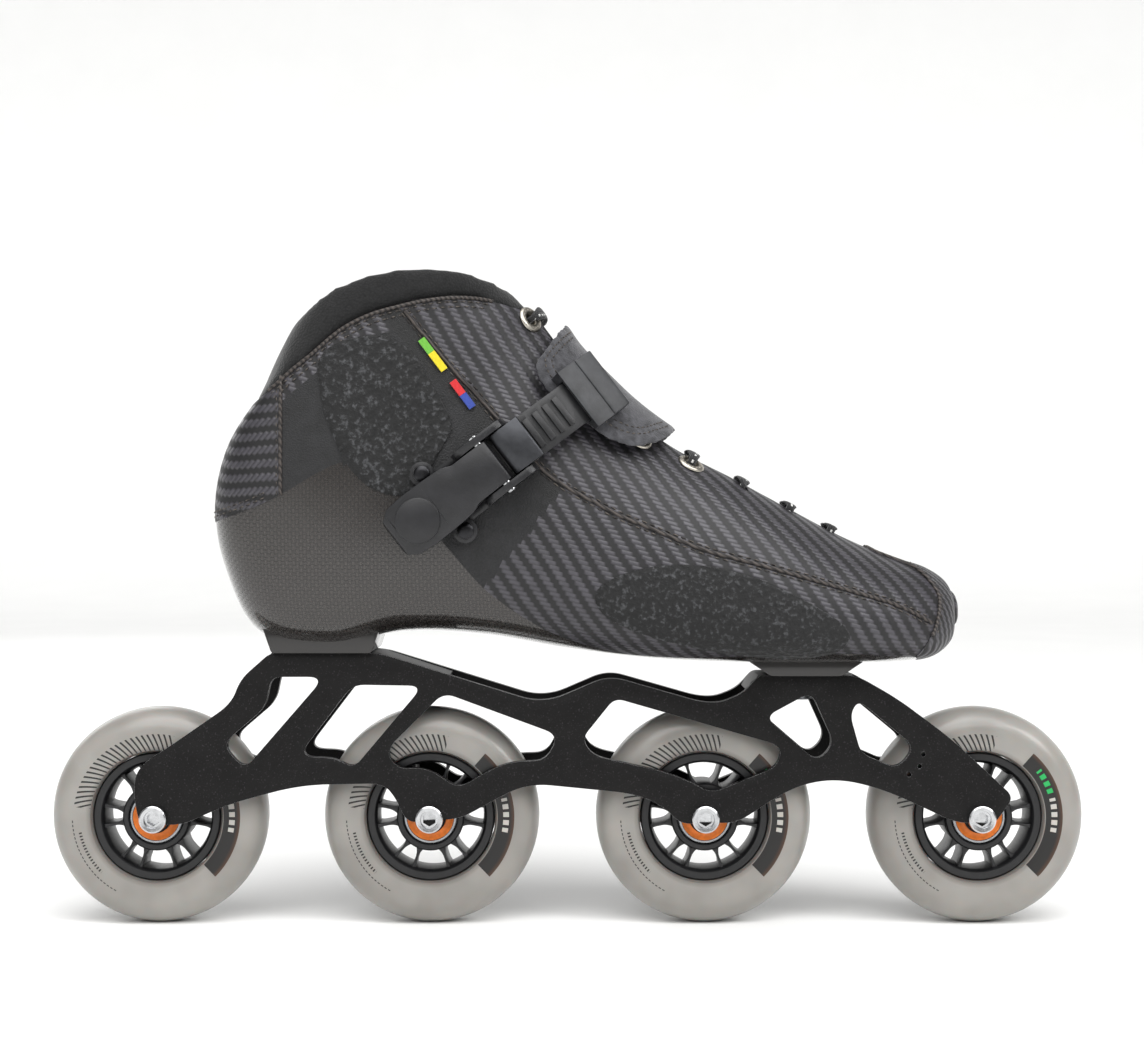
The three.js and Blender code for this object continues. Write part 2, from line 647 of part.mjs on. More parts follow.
// The buckle is made lying flat: +X along the strap to the instep, +Y across it, +Z away from the boot,
// with its origin on the strap's underside below the lever pin. Then it is laid on the boot.
const along = new THREE.Vector3(Math.cos(strapAngle * degrees), 0, Math.sin(strapAngle * degrees));
const across = new THREE.Vector3(-along.z, 0, along.x);
const layOn = new THREE.Matrix4().makeBasis(along, across, new THREE.Vector3(0, -1, 0));
layOn.setPosition(strapCentre[0], -strapOut, strapCentre[1]);
const laid = (body) => body.transform(layOn.elements);
const earInside = buckleWidth / 2 - earThickness;

// A sector of the strap's arc between two radii, from one distance along the strap to another.
function sector(inside, outside, from, to, halfWidth, pieces = 8) {
  const point = (radius, distance) => {
    const angle = distance / strapRadius;
    return [radius * Math.sin(angle), radius * Math.cos(angle) - strapRadius, 0];
  };
  const stops = Array.from({ length: pieces + 1 }, (_, i) => THREE.MathUtils.lerp(from, to, i / pieces));
  const corners = [...stops.map((stop) => point(outside, stop)),
    ...stops.reverse().map((stop) => point(inside, stop))];
  return slab(outline(corners), -halfWidth, halfWidth);
}

function ladderStrap() {
  const back = -22;
  const front = 51;
  const outside = strapRadius + strapThickness;
  let body = sector(strapRadius, outside, back, front, strapWidth / 2, 10);
  const teeth = Math.floor((front - 12 - back) / toothPitch);
  for (let i = 0; i < teeth; i += 1) {
    const start = back + 1 + i * toothPitch;
    const tooth = sector(outside - 0.3, outside + toothHeight, start, start + toothPitch / 2, 6.5, 1);
    body = body.add(tooth);
  }
  return laid(body);
}

function earOutline() {
  return outline([[-12, -8, 0], [-11, 7, 5], [-3, 10.5, 4], [6, 10, 4], [13, 8.5, 4], [14, -8, 0]]);
}

function buckleBase(bootSide) {
  const half = buckleWidth / 2;
  let body = sector(strapRadius - 14, strapRadius - gap, -31, 14, half);
  const ears = slab(earOutline(), -half, half).subtract(slab(earOutline(), -earInside, earInside));
  body = body.add(ears);
  for (const side of [-1, 1]) {
    const tab = rod(5, -9, -1.2, 16).rotate([90, 0, 0]).translate([rivetAlong, side * rivetAcross, 0]);
    body = body.add(tab);
  }
  body = body.subtract(sector(strapRadius - gap, strapRadius + 12, -40, 20, strapWidth / 2 + slip));
  const pins = rod(leverPinRadius + gap, -half - 1, half + 1, 12).translate([0, 0, leverPinHeight])
    .add(rod(pawlPinRadius + gap, -half - 1, half + 1, 10).translate([pawlPin[0], 0, pawlPin[1]]));
  body = body.subtract(pins);
  body = laid(body).subtract(bootSide);
  for (const side of [-1, 1]) body = body.subtract(rivetBody(side, gap));
  return body;
}

// A domed rivet through a tab of the buckle base and the upper.
function rivetBody(side, grow = 0) {
  const head = grow ? -1.2 : 0.4;
  const profile = [
    [0, -9.5 - 3 * grow], [rivetRadius + grow, -9.5 - 3 * grow], [rivetRadius + grow, -0.9],
    [3.4, -0.9], [2.6, head], [0, head],
  ];
  const straight = [[0, -12], [rivetRadius + grow, -12], [rivetRadius + grow, 2], [0, 2]];
  const body = turned(grow ? straight : profile, 12).rotate([90, 0, 0]);
  return laid(body.translate([rivetAlong, side * rivetAcross, 0]));
}

function lever() {
  const underside = strapThickness + toothHeight + slip;
  const side = slab(outline([
    [3.4, leverPinHeight + 3.2, 3], [-20, 9.4, 8], [-leverLength, 6.4, 3], [-leverLength, 3, 1],
    [-20, underside + 1, 6], [-4, underside, 3], [3.4, underside, 3],
  ]), -20, 20);
  const half = earInside - slip;
  const plan = column(outline([
    [5, -half, 0], [-13.5, -half, 1], [-17, -11, 4], [-38, -12, 10], [-leverLength - 1, -10, 9],
    [-leverLength - 1, 10, 9], [-38, 12, 10], [-17, 11, 4], [-13.5, half, 1], [5, half, 0],
  ]), -5, 20);
  const cap = rod(9, 5, 9.6, 20).rotate([90, 0, 0]).translate([-37, 0, 0]);
  const hole = rod(leverPinRadius + gap, -half - 1, half + 1, 12).translate([0, 0, leverPinHeight]);
  return laid(side.intersect(plan).add(cap).subtract(hole));
}

function leverPin() {
  const half = buckleWidth / 2 + 0.8;
  return laid(rod(leverPinRadius, -half, half, 12).translate([0, 0, leverPinHeight]));
}

// The release pawl turns on its own trunnions in the ears; its nose rests just over the teeth.
function pawl() {
  const half = earInside - slip;
  const nose = strapThickness + toothHeight + gap;
  const side = slab(outline([
    [4.8, nose + 0.2, 0.4], [9, nose, 1], [13, 4.6, 3], [19, 5.4, 1], [19, 7.2, 1], [12, 8.8, 2],
    [7.5, 8.8, 1.5], [4.8, 6.6, 1],
  ]), -half, half);
  const reach = buckleWidth / 2 - 0.2;
  return laid(side.add(rod(pawlPinRadius, -reach, reach, 10).translate([pawlPin[0], 0, pawlPin[1]])));
}

// A block on the pad with a slot that the strap slides through.
function keeper(padSide) {
  const block = sector(strapRadius - 16, strapRadius + 5, 42, 60, 13.5);
  const slot = sector(strapRadius - slip, strapRadius + strapThickness + toothHeight + slip, 38, 57,
    strapWidth / 2 + slip);
  return laid(block.subtract(slot)).subtract(padSide);
}

// The strap on the inner side of the foot, from its anchor up to the pad.
function innerStrap(padSpace) {
  const half = strapWidth / 2;
  const corners = [[-24, -half, 8], [40, -half, 0], [40, half, 0], [-24, half, 8]].map(([u, v, run]) => {
    const point = new THREE.Vector3(u, v, 0).applyMatrix4(layOn);
    return [point.x, point.z, run];
  });
  const skin = bootBody(2.6).subtract(bootBody(gap));
  return skin.intersect(slab(outline(corners), 0, far)).subtract(padSpace);
}

function anchorScrew(grow = 0) {
  const place = new THREE.Vector3(anchorAlong, 0, 0).applyMatrix4(layOn);
  const surface = anchorSeat;
  const profile = grow
    ? [[0, surface - 12], [rivetRadius + grow, surface - 12], [rivetRadius + grow, surface + 9],
      [0, surface + 9]]
    : [[0, surface - 3.4], [rivetRadius, surface - 3.4], [rivetRadius, surface + 3.1], [4.6, surface + 3.1],
      [3.4, surface + 4.9], [0, surface + 4.9]];
  return turned(profile, 12).translate([place.x, 0, place.z]);
}

function strapPieces() {
  const padPlan = slab(outline(padCorners), -far, far);
  const padTop = bootBody(padLift + padThickness);
  const pad = padTop.subtract(bootBody(padLift)).intersect(padPlan);
  const grown = padCorners.map(([x, z, run]) => [x + (x < 110 ? -gap : gap), z - gap, run + gap]);
  const strapOnInside = innerStrap(slab(outline(grown), -far, far)).subtract(anchorScrew(gap));
  add('instep_pad', pad, 0x6f7377, 0.9, 0, boot);
  add('strap_keeper', keeper(bootBody(padLift + padThickness + gap)), 0x3d3f42, 0.5, 0, boot);
  add('ladder_strap', ladderStrap(), 0x1b1b1c, 0.4, 0, boot);
  add('buckle_base', buckleBase(bootBody(gap)), 0x1b1b1d, 0.4, 0, boot);
  add('buckle_lever', lever(), 0x232427, 0.35, 0, boot);
  add('buckle_pawl', pawl(), 0x8f9195, 0.35, 0.8, boot);
  add('lever_pin', leverPin(), 0xc9cacd, 0.25, 1, boot);
  add('buckle_rivet_upper', rivetBody(1), 0xb9bbbe, 0.3, 1, boot);
  add('buckle_rivet_lower', rivetBody(-1), 0xb9bbbe, 0.3, 1, boot);
  add('inner_strap', strapOnInside, 0x1b1b1c, 0.6, 0, boot);
  add('anchor_screw', anchorScrew(), 0xb9bbbe, 0.3, 1, boot);
}

const pieces = bootPieces();
add('carbon_shell', pieces.shell, 0x3a3836, 0.25, 0.1, boot);
add('upper', pieces.upper, 0x2b2c2e, 0.45, 0, boot);
add('rear_panel', pieces.rearPanel, 0x303133, 0.45, 0, boot);
add('toe_cap', pieces.toeCap, 0x2b2c2e, 0.45, 0, boot);
add('collar_padding', pieces.collar, 0x121213, 0.85, 0, boot);
add('tongue', pieces.tongue, 0x151516, 0.85, 0, boot);
add('insole', pieces.insole, 0x3a3a3d, 0.9, 0, boot);
add('lace', lace(), 0x121213, 0.9, 0, boot);
lacing.filter((row) => row.metal).forEach((row, i) => {
  add(`eyelet_outer_${i + 1}`, onHole(eyelet(), row, 1), 0xb9bbbe, 0.3, 1, boot);
  add(`eyelet_inner_${i + 1}`, onHole(eyelet(), row, -1), 0xb9bbbe, 0.3, 1, boot);
});
strapPieces();
add('rear_mount_bolt', mountBolt(rearMountFromAxle, rearDeck, boltGrip - gap), 0x8d8f92, 0.35, 1);
add('front_mount_bolt', mountBolt(frontMount, frontDeck, toeGrip - gap), 0x8d8f92, 0.35, 1);
add('chassis', chassis(), 0x1c1a1b, 0.35, 0.6);
wheels();
object.add(boot);

export default object;
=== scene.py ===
import math

import bmesh
import bpy
import numpy as np
from bpy.props import FloatProperty, FloatVectorProperty, IntProperty, PointerProperty
from mathutils import Matrix, Vector, noise
from mathutils.bvhtree import BVHTree


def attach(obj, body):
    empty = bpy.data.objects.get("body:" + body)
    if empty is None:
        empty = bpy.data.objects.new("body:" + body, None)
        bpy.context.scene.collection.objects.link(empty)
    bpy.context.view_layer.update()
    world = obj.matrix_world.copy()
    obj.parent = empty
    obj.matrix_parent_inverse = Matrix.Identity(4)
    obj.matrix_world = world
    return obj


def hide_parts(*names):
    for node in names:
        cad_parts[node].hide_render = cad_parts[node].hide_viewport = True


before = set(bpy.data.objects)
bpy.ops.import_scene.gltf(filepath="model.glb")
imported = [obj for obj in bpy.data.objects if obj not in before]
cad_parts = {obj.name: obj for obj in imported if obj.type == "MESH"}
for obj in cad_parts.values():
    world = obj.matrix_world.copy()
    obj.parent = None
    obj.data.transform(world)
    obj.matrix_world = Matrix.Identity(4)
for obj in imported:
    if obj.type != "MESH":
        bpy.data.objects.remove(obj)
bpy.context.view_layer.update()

bl_info = {
    "name": "Inline speed skate",
    "version": (1, 0, 0),
    "blender": (4, 5, 0),
    "location": "View3D > Sidebar > Skate",
    "description": "Builds the pieces and finishes of an inline speed skate around its CAD frame",
    "category": "Add Mesh",
}

MM = 0.001
HEEL_MOUNT = (69.5, 0.0, 113.4)     # where the boot's own measures start, in mm
TOE_MOUNT = (268.5, 0.0, 104.0)
AXLE_PITCH = 113.7
AXLE_HEIGHT = 45.0
WHEELS = (1, 2, 3, 4)
SIDES = (("outer", 1), ("inner", -1))


def linear(code):
    """An sRGB hex colour as linear red, green, blue and alpha."""
    parts = [int(code[i:i + 2], 16) / 255 for i in (0, 2, 4)]
    return *(p / 12.92 if p <= 0.04045 else ((p + 0.055) / 1.055) ** 2.4 for p in parts), 1.0


def dimmed(tint, share):
    """A colour with its light cut down to a share."""
    return [share * v for v in tint[:3]] + [1.0]


def colour(name, description, code):
    """A colour setting, given as sRGB hex."""
    return FloatVectorProperty(
        name=name, description=description, subtype="COLOR", size=4, min=0, max=1, default=linear(code))


def millimetres(name, description, value):
    """A length setting, in mm."""
    return FloatProperty(name=name, description=description, unit="NONE", min=0.01, default=value)


class WheelSettings(bpy.types.PropertyGroup):
    tyre: colour("Tyre", "Colour of the cast polyurethane", "97948f")
    print_ink: colour("Print", "Ink of the bands and hatching on the tyre", "0d0b0a")
    accent: colour("Accent", "Colour of the small accent marks", "12a552")
    hub: colour("Hub", "Colour of the moulded nylon hub", "141416")
    seal: colour("Seal", "Colour of the rubber bearing seal", "f07c1e")
    sides: IntProperty(name="Sides", description="Faces round a wheel", default=112, min=24)
    window_angle: FloatProperty(
        name="Spoke pair", description="Angle between the two spokes of a pair", subtype="ANGLE",
        default=math.radians(22))


class ChassisSettings(bpy.types.PropertyGroup):
    anodised: colour("Anodised", "Colour of the anodised plates", "100f0f")
    chamfer: millimetres("Chamfer", "Bare edge left round the cut-outs, mm", 0.85)


class BootSettings(bpy.types.PropertyGroup):
    shell: colour("Shell", "Resin tint of the carbon shell", "3d3835")
    # The upper's light colour is partly the twill's print and partly painted highlight on its ribs.
    upper: colour("Upper", "Light thread of the upper's twill", "49474d")
    lining: colour("Lining", "Colour of the padded lining", "101011")
    pad: colour("Pad", "Colour of the suede instep pad", "505054")
    tow: millimetres("Tow", "Width of a tow in the upper's twill, mm", 1.75)
    rib: millimetres("Rib", "Distance between two ribs of the upper's twill, mm", 8.0)
    shell_tow: millimetres("Shell tow", "Width of a tow in the carbon shell, mm", 1.5)
    stitch: millimetres("Stitch", "Length of a stitch with its gap, mm", 3.4)
    wall: millimetres("Wall", "Thickness of the boot's wall, mm", 3.0)


class FasteningSettings(bpy.types.PropertyGroup):
    strap: colour("Strap", "Colour of the moulded ladder strap", "202022")
    buckle: colour("Buckle", "Colour of the moulded buckle", "1d1d20")
    keeper: colour("Keeper", "Colour of the strap keeper", "343538")
    lace: colour("Lace", "Colour of the lace", "161618")
    lace_width: millimetres("Lace width", "Width of the flat lace, mm", 6.0)


class StageSettings(bpy.types.PropertyGroup):
    floor: colour("Floor", "Colour of the floor and backdrop", "f6f6f5")
    lens: FloatProperty(name="Lens", description="Focal length, mm", default=63.6)
    distance: FloatProperty(
        name="Distance", description="From the camera to the wheels' plane", unit="LENGTH", default=0.85)
    key: FloatProperty(
        name="Key light", description="Power that the soft boxes share out", unit="POWER", default=5.5)
    sky: FloatProperty(
        name="Sky panel", description="Strength of the even light on floor and backdrop", default=2.3)


class SkateSettings(bpy.types.PropertyGroup):
    wheel: PointerProperty(type=WheelSettings)
    chassis: PointerProperty(type=ChassisSettings)
    boot: PointerProperty(type=BootSettings)
    fastening: PointerProperty(type=FasteningSettings)
    stage: PointerProperty(type=StageSettings)


def settings():
    """The skate's settings in this scene."""
    return bpy.context.scene.skate


# ---- Materials ----

def add_node(tree, kind, inputs=(), out=0, **choices):
    """Adds a shader node with its settings, values and links, and gives back one of its outputs."""
    node = tree.nodes.new("ShaderNode" + kind)
    for name, value in choices.items():
        setattr(node, name, value)
    for socket, value in dict(inputs).items():
        if isinstance(value, bpy.types.NodeSocket):
            tree.links.new(value, node.inputs[socket])
        else:
            node.inputs[socket].default_value = value
    return node.outputs[out]


def new_material(name, **values):
    """A material with its shader's own sockets set; gives back the material, its tree and its shader."""
    material = bpy.data.materials.new(name)
    material.use_nodes = True
    tree = material.node_tree
    shader = tree.nodes["Principled BSDF"]
    for socket, value in values.items():
        shader.inputs[socket.replace("_", " ")].default_value = value
    return material, tree, shader


def once(make):
    """Makes a material the first time that it is asked for."""
    kept = {}

    def ask(*words):
        if words not in kept:
            kept[words] = make(*words)
        return kept[words]
    return ask


def shade(tree, shader, tint, rough=None, height=None, depth=0.2):
    """Links a colour, a roughness and a relief, in mm, to the shader."""
    tree.links.new(tint, shader.inputs["Base Color"])
    if rough is not None:
        tree.links.new(rough, shader.inputs["Roughness"])
    if height is not None:
        relief = add_node(tree, "Bump", {"Height": height, "Distance": depth * MM, "Strength": 1.0})
        tree.links.new(relief, shader.inputs["Normal"])


# The sockets of a colour mix, whose names it shares with its other kinds.
FACTOR, FIRST, SECOND = 0, 6, 7
MIX = {"kind": "Mix", "data_type": "RGBA", "out": 2}


def mottled(tree, coordinates, size, dark, light, low=0.35, high=0.65, detail=4.0):
    """Two colours in soft patches of a size in mm; gives back the colour and the pattern."""
    pattern = add_node(tree, "TexNoise", {
        "Vector": coordinates, "Scale": 1000 / size, "Detail": detail, "Roughness": 0.55})
    share = add_node(tree, "MapRange", {"Value": pattern, "From Min": low, "From Max": high})
    return add_node(tree, inputs={FACTOR: share, FIRST: dark, SECOND: light}, **MIX), pattern


def surface_place(tree, source="Object"):
    """The piece's own coordinates, or its woven ones, both in metres."""
    return add_node(tree, "TexCoord", out=source)


@once
def cast_polyurethane():
    """Cast polyurethane tyre out of a polished mould: milky, slightly translucent, with printed ink."""
    size = settings().wheel
    material, tree, shader = new_material(
        "cast_polyurethane", Roughness=0.32, IOR=1.5, Subsurface_Weight=0.25, Subsurface_Scale=0.006,
        Coat_Weight=0.15)
    place = surface_place(tree, "UV")
    x, z = (add_node(tree, "SeparateXYZ", {"Vector": place}, out=axis) for axis in ("X", "Y"))
    radius = add_node(tree, "VectorMath", {0: place}, out="Value", operation="LENGTH")
    turn = add_node(tree, "Math", {0: z, 1: x}, operation="ARCTAN2")

    def band(value, low, high):
        middle, half = (low + high) / 2, (high - low) / 2
        return add_node(tree, "Math", {0: value, 1: middle, 2: half}, operation="COMPARE")

    def both(*marks):
        product = marks[0]
        for mark in marks[1:]:
            product = add_node(tree, "Math", {0: product, 1: mark}, operation="MULTIPLY")
        return product

    def stripes(value, pitch, share):
        wave = add_node(tree, "Math", {0: value, 1: pitch}, operation="FLOORED_MODULO")
        return add_node(tree, "Math", {0: wave, 1: pitch * share}, operation="LESS_THAN")

    slant = add_node(tree, "Math", {0: radius, 1: -0.013 / MM, 2: turn}, operation="MULTIPLY_ADD")
    hatching = both(stripes(slant, 0.068, 0.36), band(radius, 27.6 * MM, 34.4 * MM), band(turn, 1.35, 3.02))
    outline = both(stripes(turn, 0.05, 0.6), band(radius, 34.6 * MM, 35.0 * MM), band(turn, -3.12, -2.05))
    ticks = both(stripes(turn, 0.042, 0.45), band(radius, 31.6 * MM, 32.8 * MM), band(turn, -2.95, -2.35))
    block = both(band(radius, 27.9 * MM, 34.8 * MM), band(turn, -0.79, 0.86))
    bright = both(stripes(turn, 0.105, 0.62), band(radius, 30.2 * MM, 32.6 * MM), band(turn, 0.32, 0.66))
    pale = both(stripes(turn, 0.105, 0.62), band(radius, 30.2 * MM, 32.6 * MM), band(turn, -0.2, 0.25))
    body, cloud = mottled(tree, surface_place(tree), 22, linear("85827d"), size.tyre, 0.3, 0.7, 2.0)
    rim = add_node(tree, "MapRange", {
        "Value": radius, "From Min": 27.2 * MM, "From Max": 29.5 * MM, "To Min": 0.55, "To Max": 0.0})
    tint = add_node(tree, inputs={FACTOR: rim, FIRST: body, SECOND: linear("4a4340")}, **MIX)
    edge = add_node(tree, "MapRange", {
        "Value": radius, "From Min": 33 * MM, "From Max": 34.8 * MM, "To Min": 0.0, "To Max": 0.85})
    ink = add_node(tree, inputs={FACTOR: edge, FIRST: size.print_ink, SECOND: linear("4a2c18")}, **MIX)
    for mark, paint in ((hatching, size.print_ink), (outline, size.print_ink), (ticks, size.print_ink),
                        (block, ink), (bright, size.accent), (pale, linear("b5b1ab"))):
        tint = add_node(tree, inputs={FACTOR: mark, FIRST: tint, SECOND: paint}, **MIX)
    shade(tree, shader, tint, height=cloud, depth=0.05)
    return material


@once
def moulded_nylon(name, tint, grain=0.5, rough=0.42):
    """Glass-filled nylon from a spark-eroded mould: dark, low sheen, with a fine even grain."""
    material, tree, shader = new_material(name, IOR=1.53, Specular_IOR_Level=0.5)
    dark = dimmed(tint, 0.55)
    place = surface_place(tree)
    mixed, _ = mottled(tree, place, 6, dark, tint)
    fine = add_node(tree, "TexNoise", {"Vector": place, "Scale": 1000 / grain, "Detail": 3.0})
    roughness = add_node(tree, "MapRange", {
        "Value": fine, "To Min": rough - 0.12, "To Max": rough + 0.14})
    shade(tree, shader, mixed, roughness, fine, 0.05)
    return material


@once
def turned_metal(name, code, rough=0.24):
    """Turned and plated steel: bright, with faint rings left by the tool under the plating."""
    material, tree, shader = new_material(name, Metallic=1.0)
    place = surface_place(tree)
    tint, _ = mottled(tree, place, 4, dimmed(linear(code), 0.78), linear(code))
    stretched = add_node(tree, "Mapping", {"Vector": place, "Scale": (1.0, 14.0, 1.0)})
    fine = add_node(tree, "TexNoise", {"Vector": stretched, "Scale": 900.0, "Detail": 5.0})
    roughness = add_node(tree, "MapRange", {
        "Value": fine, "To Min": rough - 0.1, "To Max": rough + 0.16})
    shade(tree, shader, tint, roughness, fine, 0.02)
    return material


@once
def seal_rubber():
    """Moulded nitrile bearing seal: bright orange, matt, with a fine skin."""
    material, tree, shader = new_material("nitrile_seal", IOR=1.52)
    place = surface_place(tree)
    bright = settings().wheel.seal
    tint, cloud = mottled(tree, place, 3, dimmed(bright, 0.7), bright)
    roughness = add_node(tree, "MapRange", {"Value": cloud, "To Min": 0.38, "To Max": 0.6})
    shade(tree, shader, tint, roughness, cloud, 0.05)
    return material


@once
def anodised_aluminium():
    """Aluminium plate, bead-blasted and anodised black: satin, with the blasting's fine pits."""
    size = settings().chassis
    material, tree, shader = new_material("anodised_aluminium", Metallic=0.55)
    place = surface_place(tree)
    tint, _ = mottled(tree, place, 9, dimmed(size.anodised, 0.6), size.anodised)
    pits = add_node(tree, "TexNoise", {"Vector": place, "Scale": 1000 / 0.7, "Detail": 4.0})
    flecks = add_node(tree, "MapRange", {"Value": pits, "From Min": 0.6, "From Max": 0.72})
    tint = add_node(tree, inputs={FACTOR: flecks, FIRST: tint, SECOND: linear("353234")}, **MIX)
    roughness = add_node(tree, "MapRange", {"Value": pits, "To Min": 0.36, "To Max": 0.56})
    shade(tree, shader, tint, roughness, pits, 0.06)
    return material


@once
def milled_aluminium():
    """Aluminium edge milled after anodising: bright, with cutter marks across it."""
    material, tree, shader = new_material("milled_aluminium", Metallic=1.0)
    place = surface_place(tree)
    marks = add_node(tree, "TexWave", {
        "Vector": place, "Scale": 1000 / 2.4, "Distortion": 1.5, "Detail": 2.0})
    tint = add_node(tree, inputs={FACTOR: marks, FIRST: linear("a9a9ab"), SECOND: linear("d9d9da")}, **MIX)
    roughness = add_node(tree, "MapRange", {"Value": marks, "To Min": 0.38, "To Max": 0.56})
    shade(tree, shader, tint, roughness, marks, 0.02)
    return material


def weave_steps(tree, along, tow):
    """The tow that each place lies in, counted along the surface, and how far it lies into that tow."""
    count = add_node(tree, "Math", {0: along, 1: tow * MM}, operation="DIVIDE")
    row = add_node(tree, "Math", {0: count}, operation="FLOOR")
    into = add_node(tree, "Math", {0: count}, operation="FRACT")
    return row, into


@once
def carbon_lacquer():
    """Carbon fibre cloth in epoxy, vacuum moulded and clear-lacquered: a fine check under a deep gloss."""
    size = settings().boot
    material, tree, shader = new_material(
        "lacquered_carbon", Metallic=0.4, IOR=1.5, Coat_Weight=0.9, Coat_Roughness=0.1, Coat_IOR=1.5)
    place = surface_place(tree, "UV")
    x, z = (add_node(tree, "SeparateXYZ", {"Vector": place}, out=axis) for axis in ("X", "Y"))
    column, into_x = weave_steps(tree, x, size.shell_tow)
    row, into_z = weave_steps(tree, z, size.shell_tow)
    total = add_node(tree, "Math", {0: column, 1: row}, operation="ADD")
    over = add_node(tree, "Math", {0: total, 1: 2.0}, operation="FLOORED_MODULO")
    bulge_x = add_node(tree, "Math", {0: into_x, 1: math.pi}, operation="MULTIPLY")
    bulge_z = add_node(tree, "Math", {0: into_z, 1: math.pi}, operation="MULTIPLY")
    arch_x = add_node(tree, "Math", {0: bulge_x}, operation="SINE")
    arch_z = add_node(tree, "Math", {0: bulge_z}, operation="SINE")
    arch = add_node(tree, "Mix", {0: over, 2: arch_x, 3: arch_z}, 0)
    shadow = dimmed(size.shell, 0.3)
    tint = add_node(tree, inputs={FACTOR: arch, FIRST: shadow, SECOND: size.shell}, **MIX)
    share = add_node(tree, "Math", {0: over, 1: 0.35}, operation="MULTIPLY")
    tint = add_node(tree, inputs={FACTOR: share, FIRST: tint, SECOND: linear("0f0e0d")}, **MIX)
    # Big soft patches pulled towards near-black are painted shade, not wear.
    _, drift = mottled(tree, surface_place(tree), 45, linear("000000"), linear("ffffff"), 0.3, 0.7, 2.0)
    painted_shade_patches = add_node(tree, "Math", {0: drift, 1: 0.3}, operation="MULTIPLY")
    tint = add_node(tree, inputs={FACTOR: painted_shade_patches, FIRST: tint, SECOND: linear("0b0a0a")}, **MIX)
    roughness = add_node(tree, "MapRange", {"Value": arch, "To Min": 0.4, "To Max": 0.26})
    shade(tree, shader, tint, roughness, arch, 0.08)
    return material


@once
def twill_microfibre(name, light, dark, tow, rib, turned_by=0.0):
    """Microfibre upper pressed with a coarse carbon twill: soft ribs that catch the light in short steps,
    their lighter colour partly print and partly painted highlight.
    """
    material, tree, shader = new_material(name, IOR=1.5, Coat_Weight=0.12, Coat_Roughness=0.35)
    place = add_node(tree, "VectorRotate", {
        "Vector": surface_place(tree, "UV"), "Angle": turned_by}, rotation_type="Z_AXIS")
    wander = add_node(tree, "TexNoise", {"Vector": place, "Scale": 26.0, "Detail": 1.0}, "Color")
    centred = add_node(tree, "VectorMath", {0: wander, 1: (0.5, 0.5, 0.5)}, operation="SUBTRACT")
    drift = add_node(tree, "VectorMath", {0: centred, "Scale": 2.4 * MM}, operation="SCALE")
    bent = add_node(tree, "VectorMath", {0: place, 1: drift}, operation="ADD")
    x, z = (add_node(tree, "SeparateXYZ", {"Vector": bent}, out=axis) for axis in ("X", "Y"))
    lean = add_node(tree, "Math", {0: x, 1: 0.28, 2: z}, operation="MULTIPLY_ADD")
    row, into = weave_steps(tree, lean, tow)
    along = add_node(tree, "Math", {0: x, 1: rib * MM}, operation="DIVIDE")
    stepped = add_node(tree, "Math", {0: row, 1: 0.17, 2: along}, operation="MULTIPLY_ADD")
    phase = add_node(tree, "Math", {0: stepped}, operation="FRACT")
    centre = add_node(tree, "Math", {0: phase, 1: 0.5}, operation="SUBTRACT")
    away = add_node(tree, "Math", {0: centre}, operation="ABSOLUTE")
    ridge = add_node(tree, "MapRange", {
        "Value": away, "From Min": 0.34, "From Max": 0.17}, interpolation_type="SMOOTHSTEP")
    # Each tow is lighter along its crown and each rib lighter than its gaps: partly the twill's print,
    # partly painted highlight.
    turn = add_node(tree, "Math", {0: into, 1: math.pi}, operation="MULTIPLY")
    arch = add_node(tree, "Math", {0: turn}, operation="SINE")
    soft = add_node(tree, "Math", {0: arch, 1: 0.5, 2: 0.5}, operation="MULTIPLY_ADD")
    body = add_node(tree, "Math", {0: ridge, 1: soft}, operation="MULTIPLY")
    patchy = add_node(tree, "TexNoise", {"Vector": place, "Scale": 210.0, "Detail": 3.0})
    uneven = add_node(tree, "MapRange", {"Value": patchy, "To Min": 0.45, "To Max": 1.25})
    rib_print_and_painted_highlight = add_node(tree, "Math", {0: body, 1: uneven}, operation="MULTIPLY", use_clamp=True)
    tint = add_node(tree, inputs={FACTOR: rib_print_and_painted_highlight, FIRST: dark, SECOND: light}, **MIX)
    roughness = add_node(tree, "MapRange", {"Value": ridge, "To Min": 0.62, "To Max": 0.4})
    shade(tree, shader, tint, roughness, body, 0.35)
    return material


@once
def lining_cloth(name, tint, thread, rough=0.85):
    """Brushed nylon lining over foam: matt black with a faint nap and fine threads."""
    material, tree, shader = new_material(name, IOR=1.45, Sheen_Weight=0.25, Sheen_Roughness=0.5)
    place = surface_place(tree)
    mixed, _ = mottled(tree, place, 7, dimmed(tint, 0.5), tint)
    threads = add_node(tree, "TexVoronoi", {"Vector": place, "Scale": 1000 / thread}, "Distance")
    roughness = add_node(tree, "MapRange", {
        "Value": threads, "To Min": rough - 0.1, "To Max": min(1.0, rough + 0.1)})
    shade(tree, shader, mixed, roughness, threads, 0.2)
    return material


@once
def abrasion_patch():
    """Rough rubberised cloth that guards against scuffs: black loops with grey tips that catch the light."""
    material, tree, shader = new_material("loop_faced_rubber", IOR=1.5, Sheen_Weight=0.1)
    place = surface_place(tree)
    grit = add_node(tree, "TexNoise", {
        "Vector": place, "Scale": 1000 / 2.1, "Detail": 3.0, "Roughness": 0.6})
    tips = add_node(tree, "MapRange", {"Value": grit, "From Min": 0.54, "From Max": 0.76})
    tint = add_node(tree, inputs={FACTOR: tips, FIRST: linear("0a0a0b"), SECOND: linear("4c4d50")}, **MIX)
    roughness = add_node(tree, "MapRange", {"Value": grit, "To Min": 0.9, "To Max": 0.55})
    shade(tree, shader, tint, roughness, grit, 0.7)
    return material


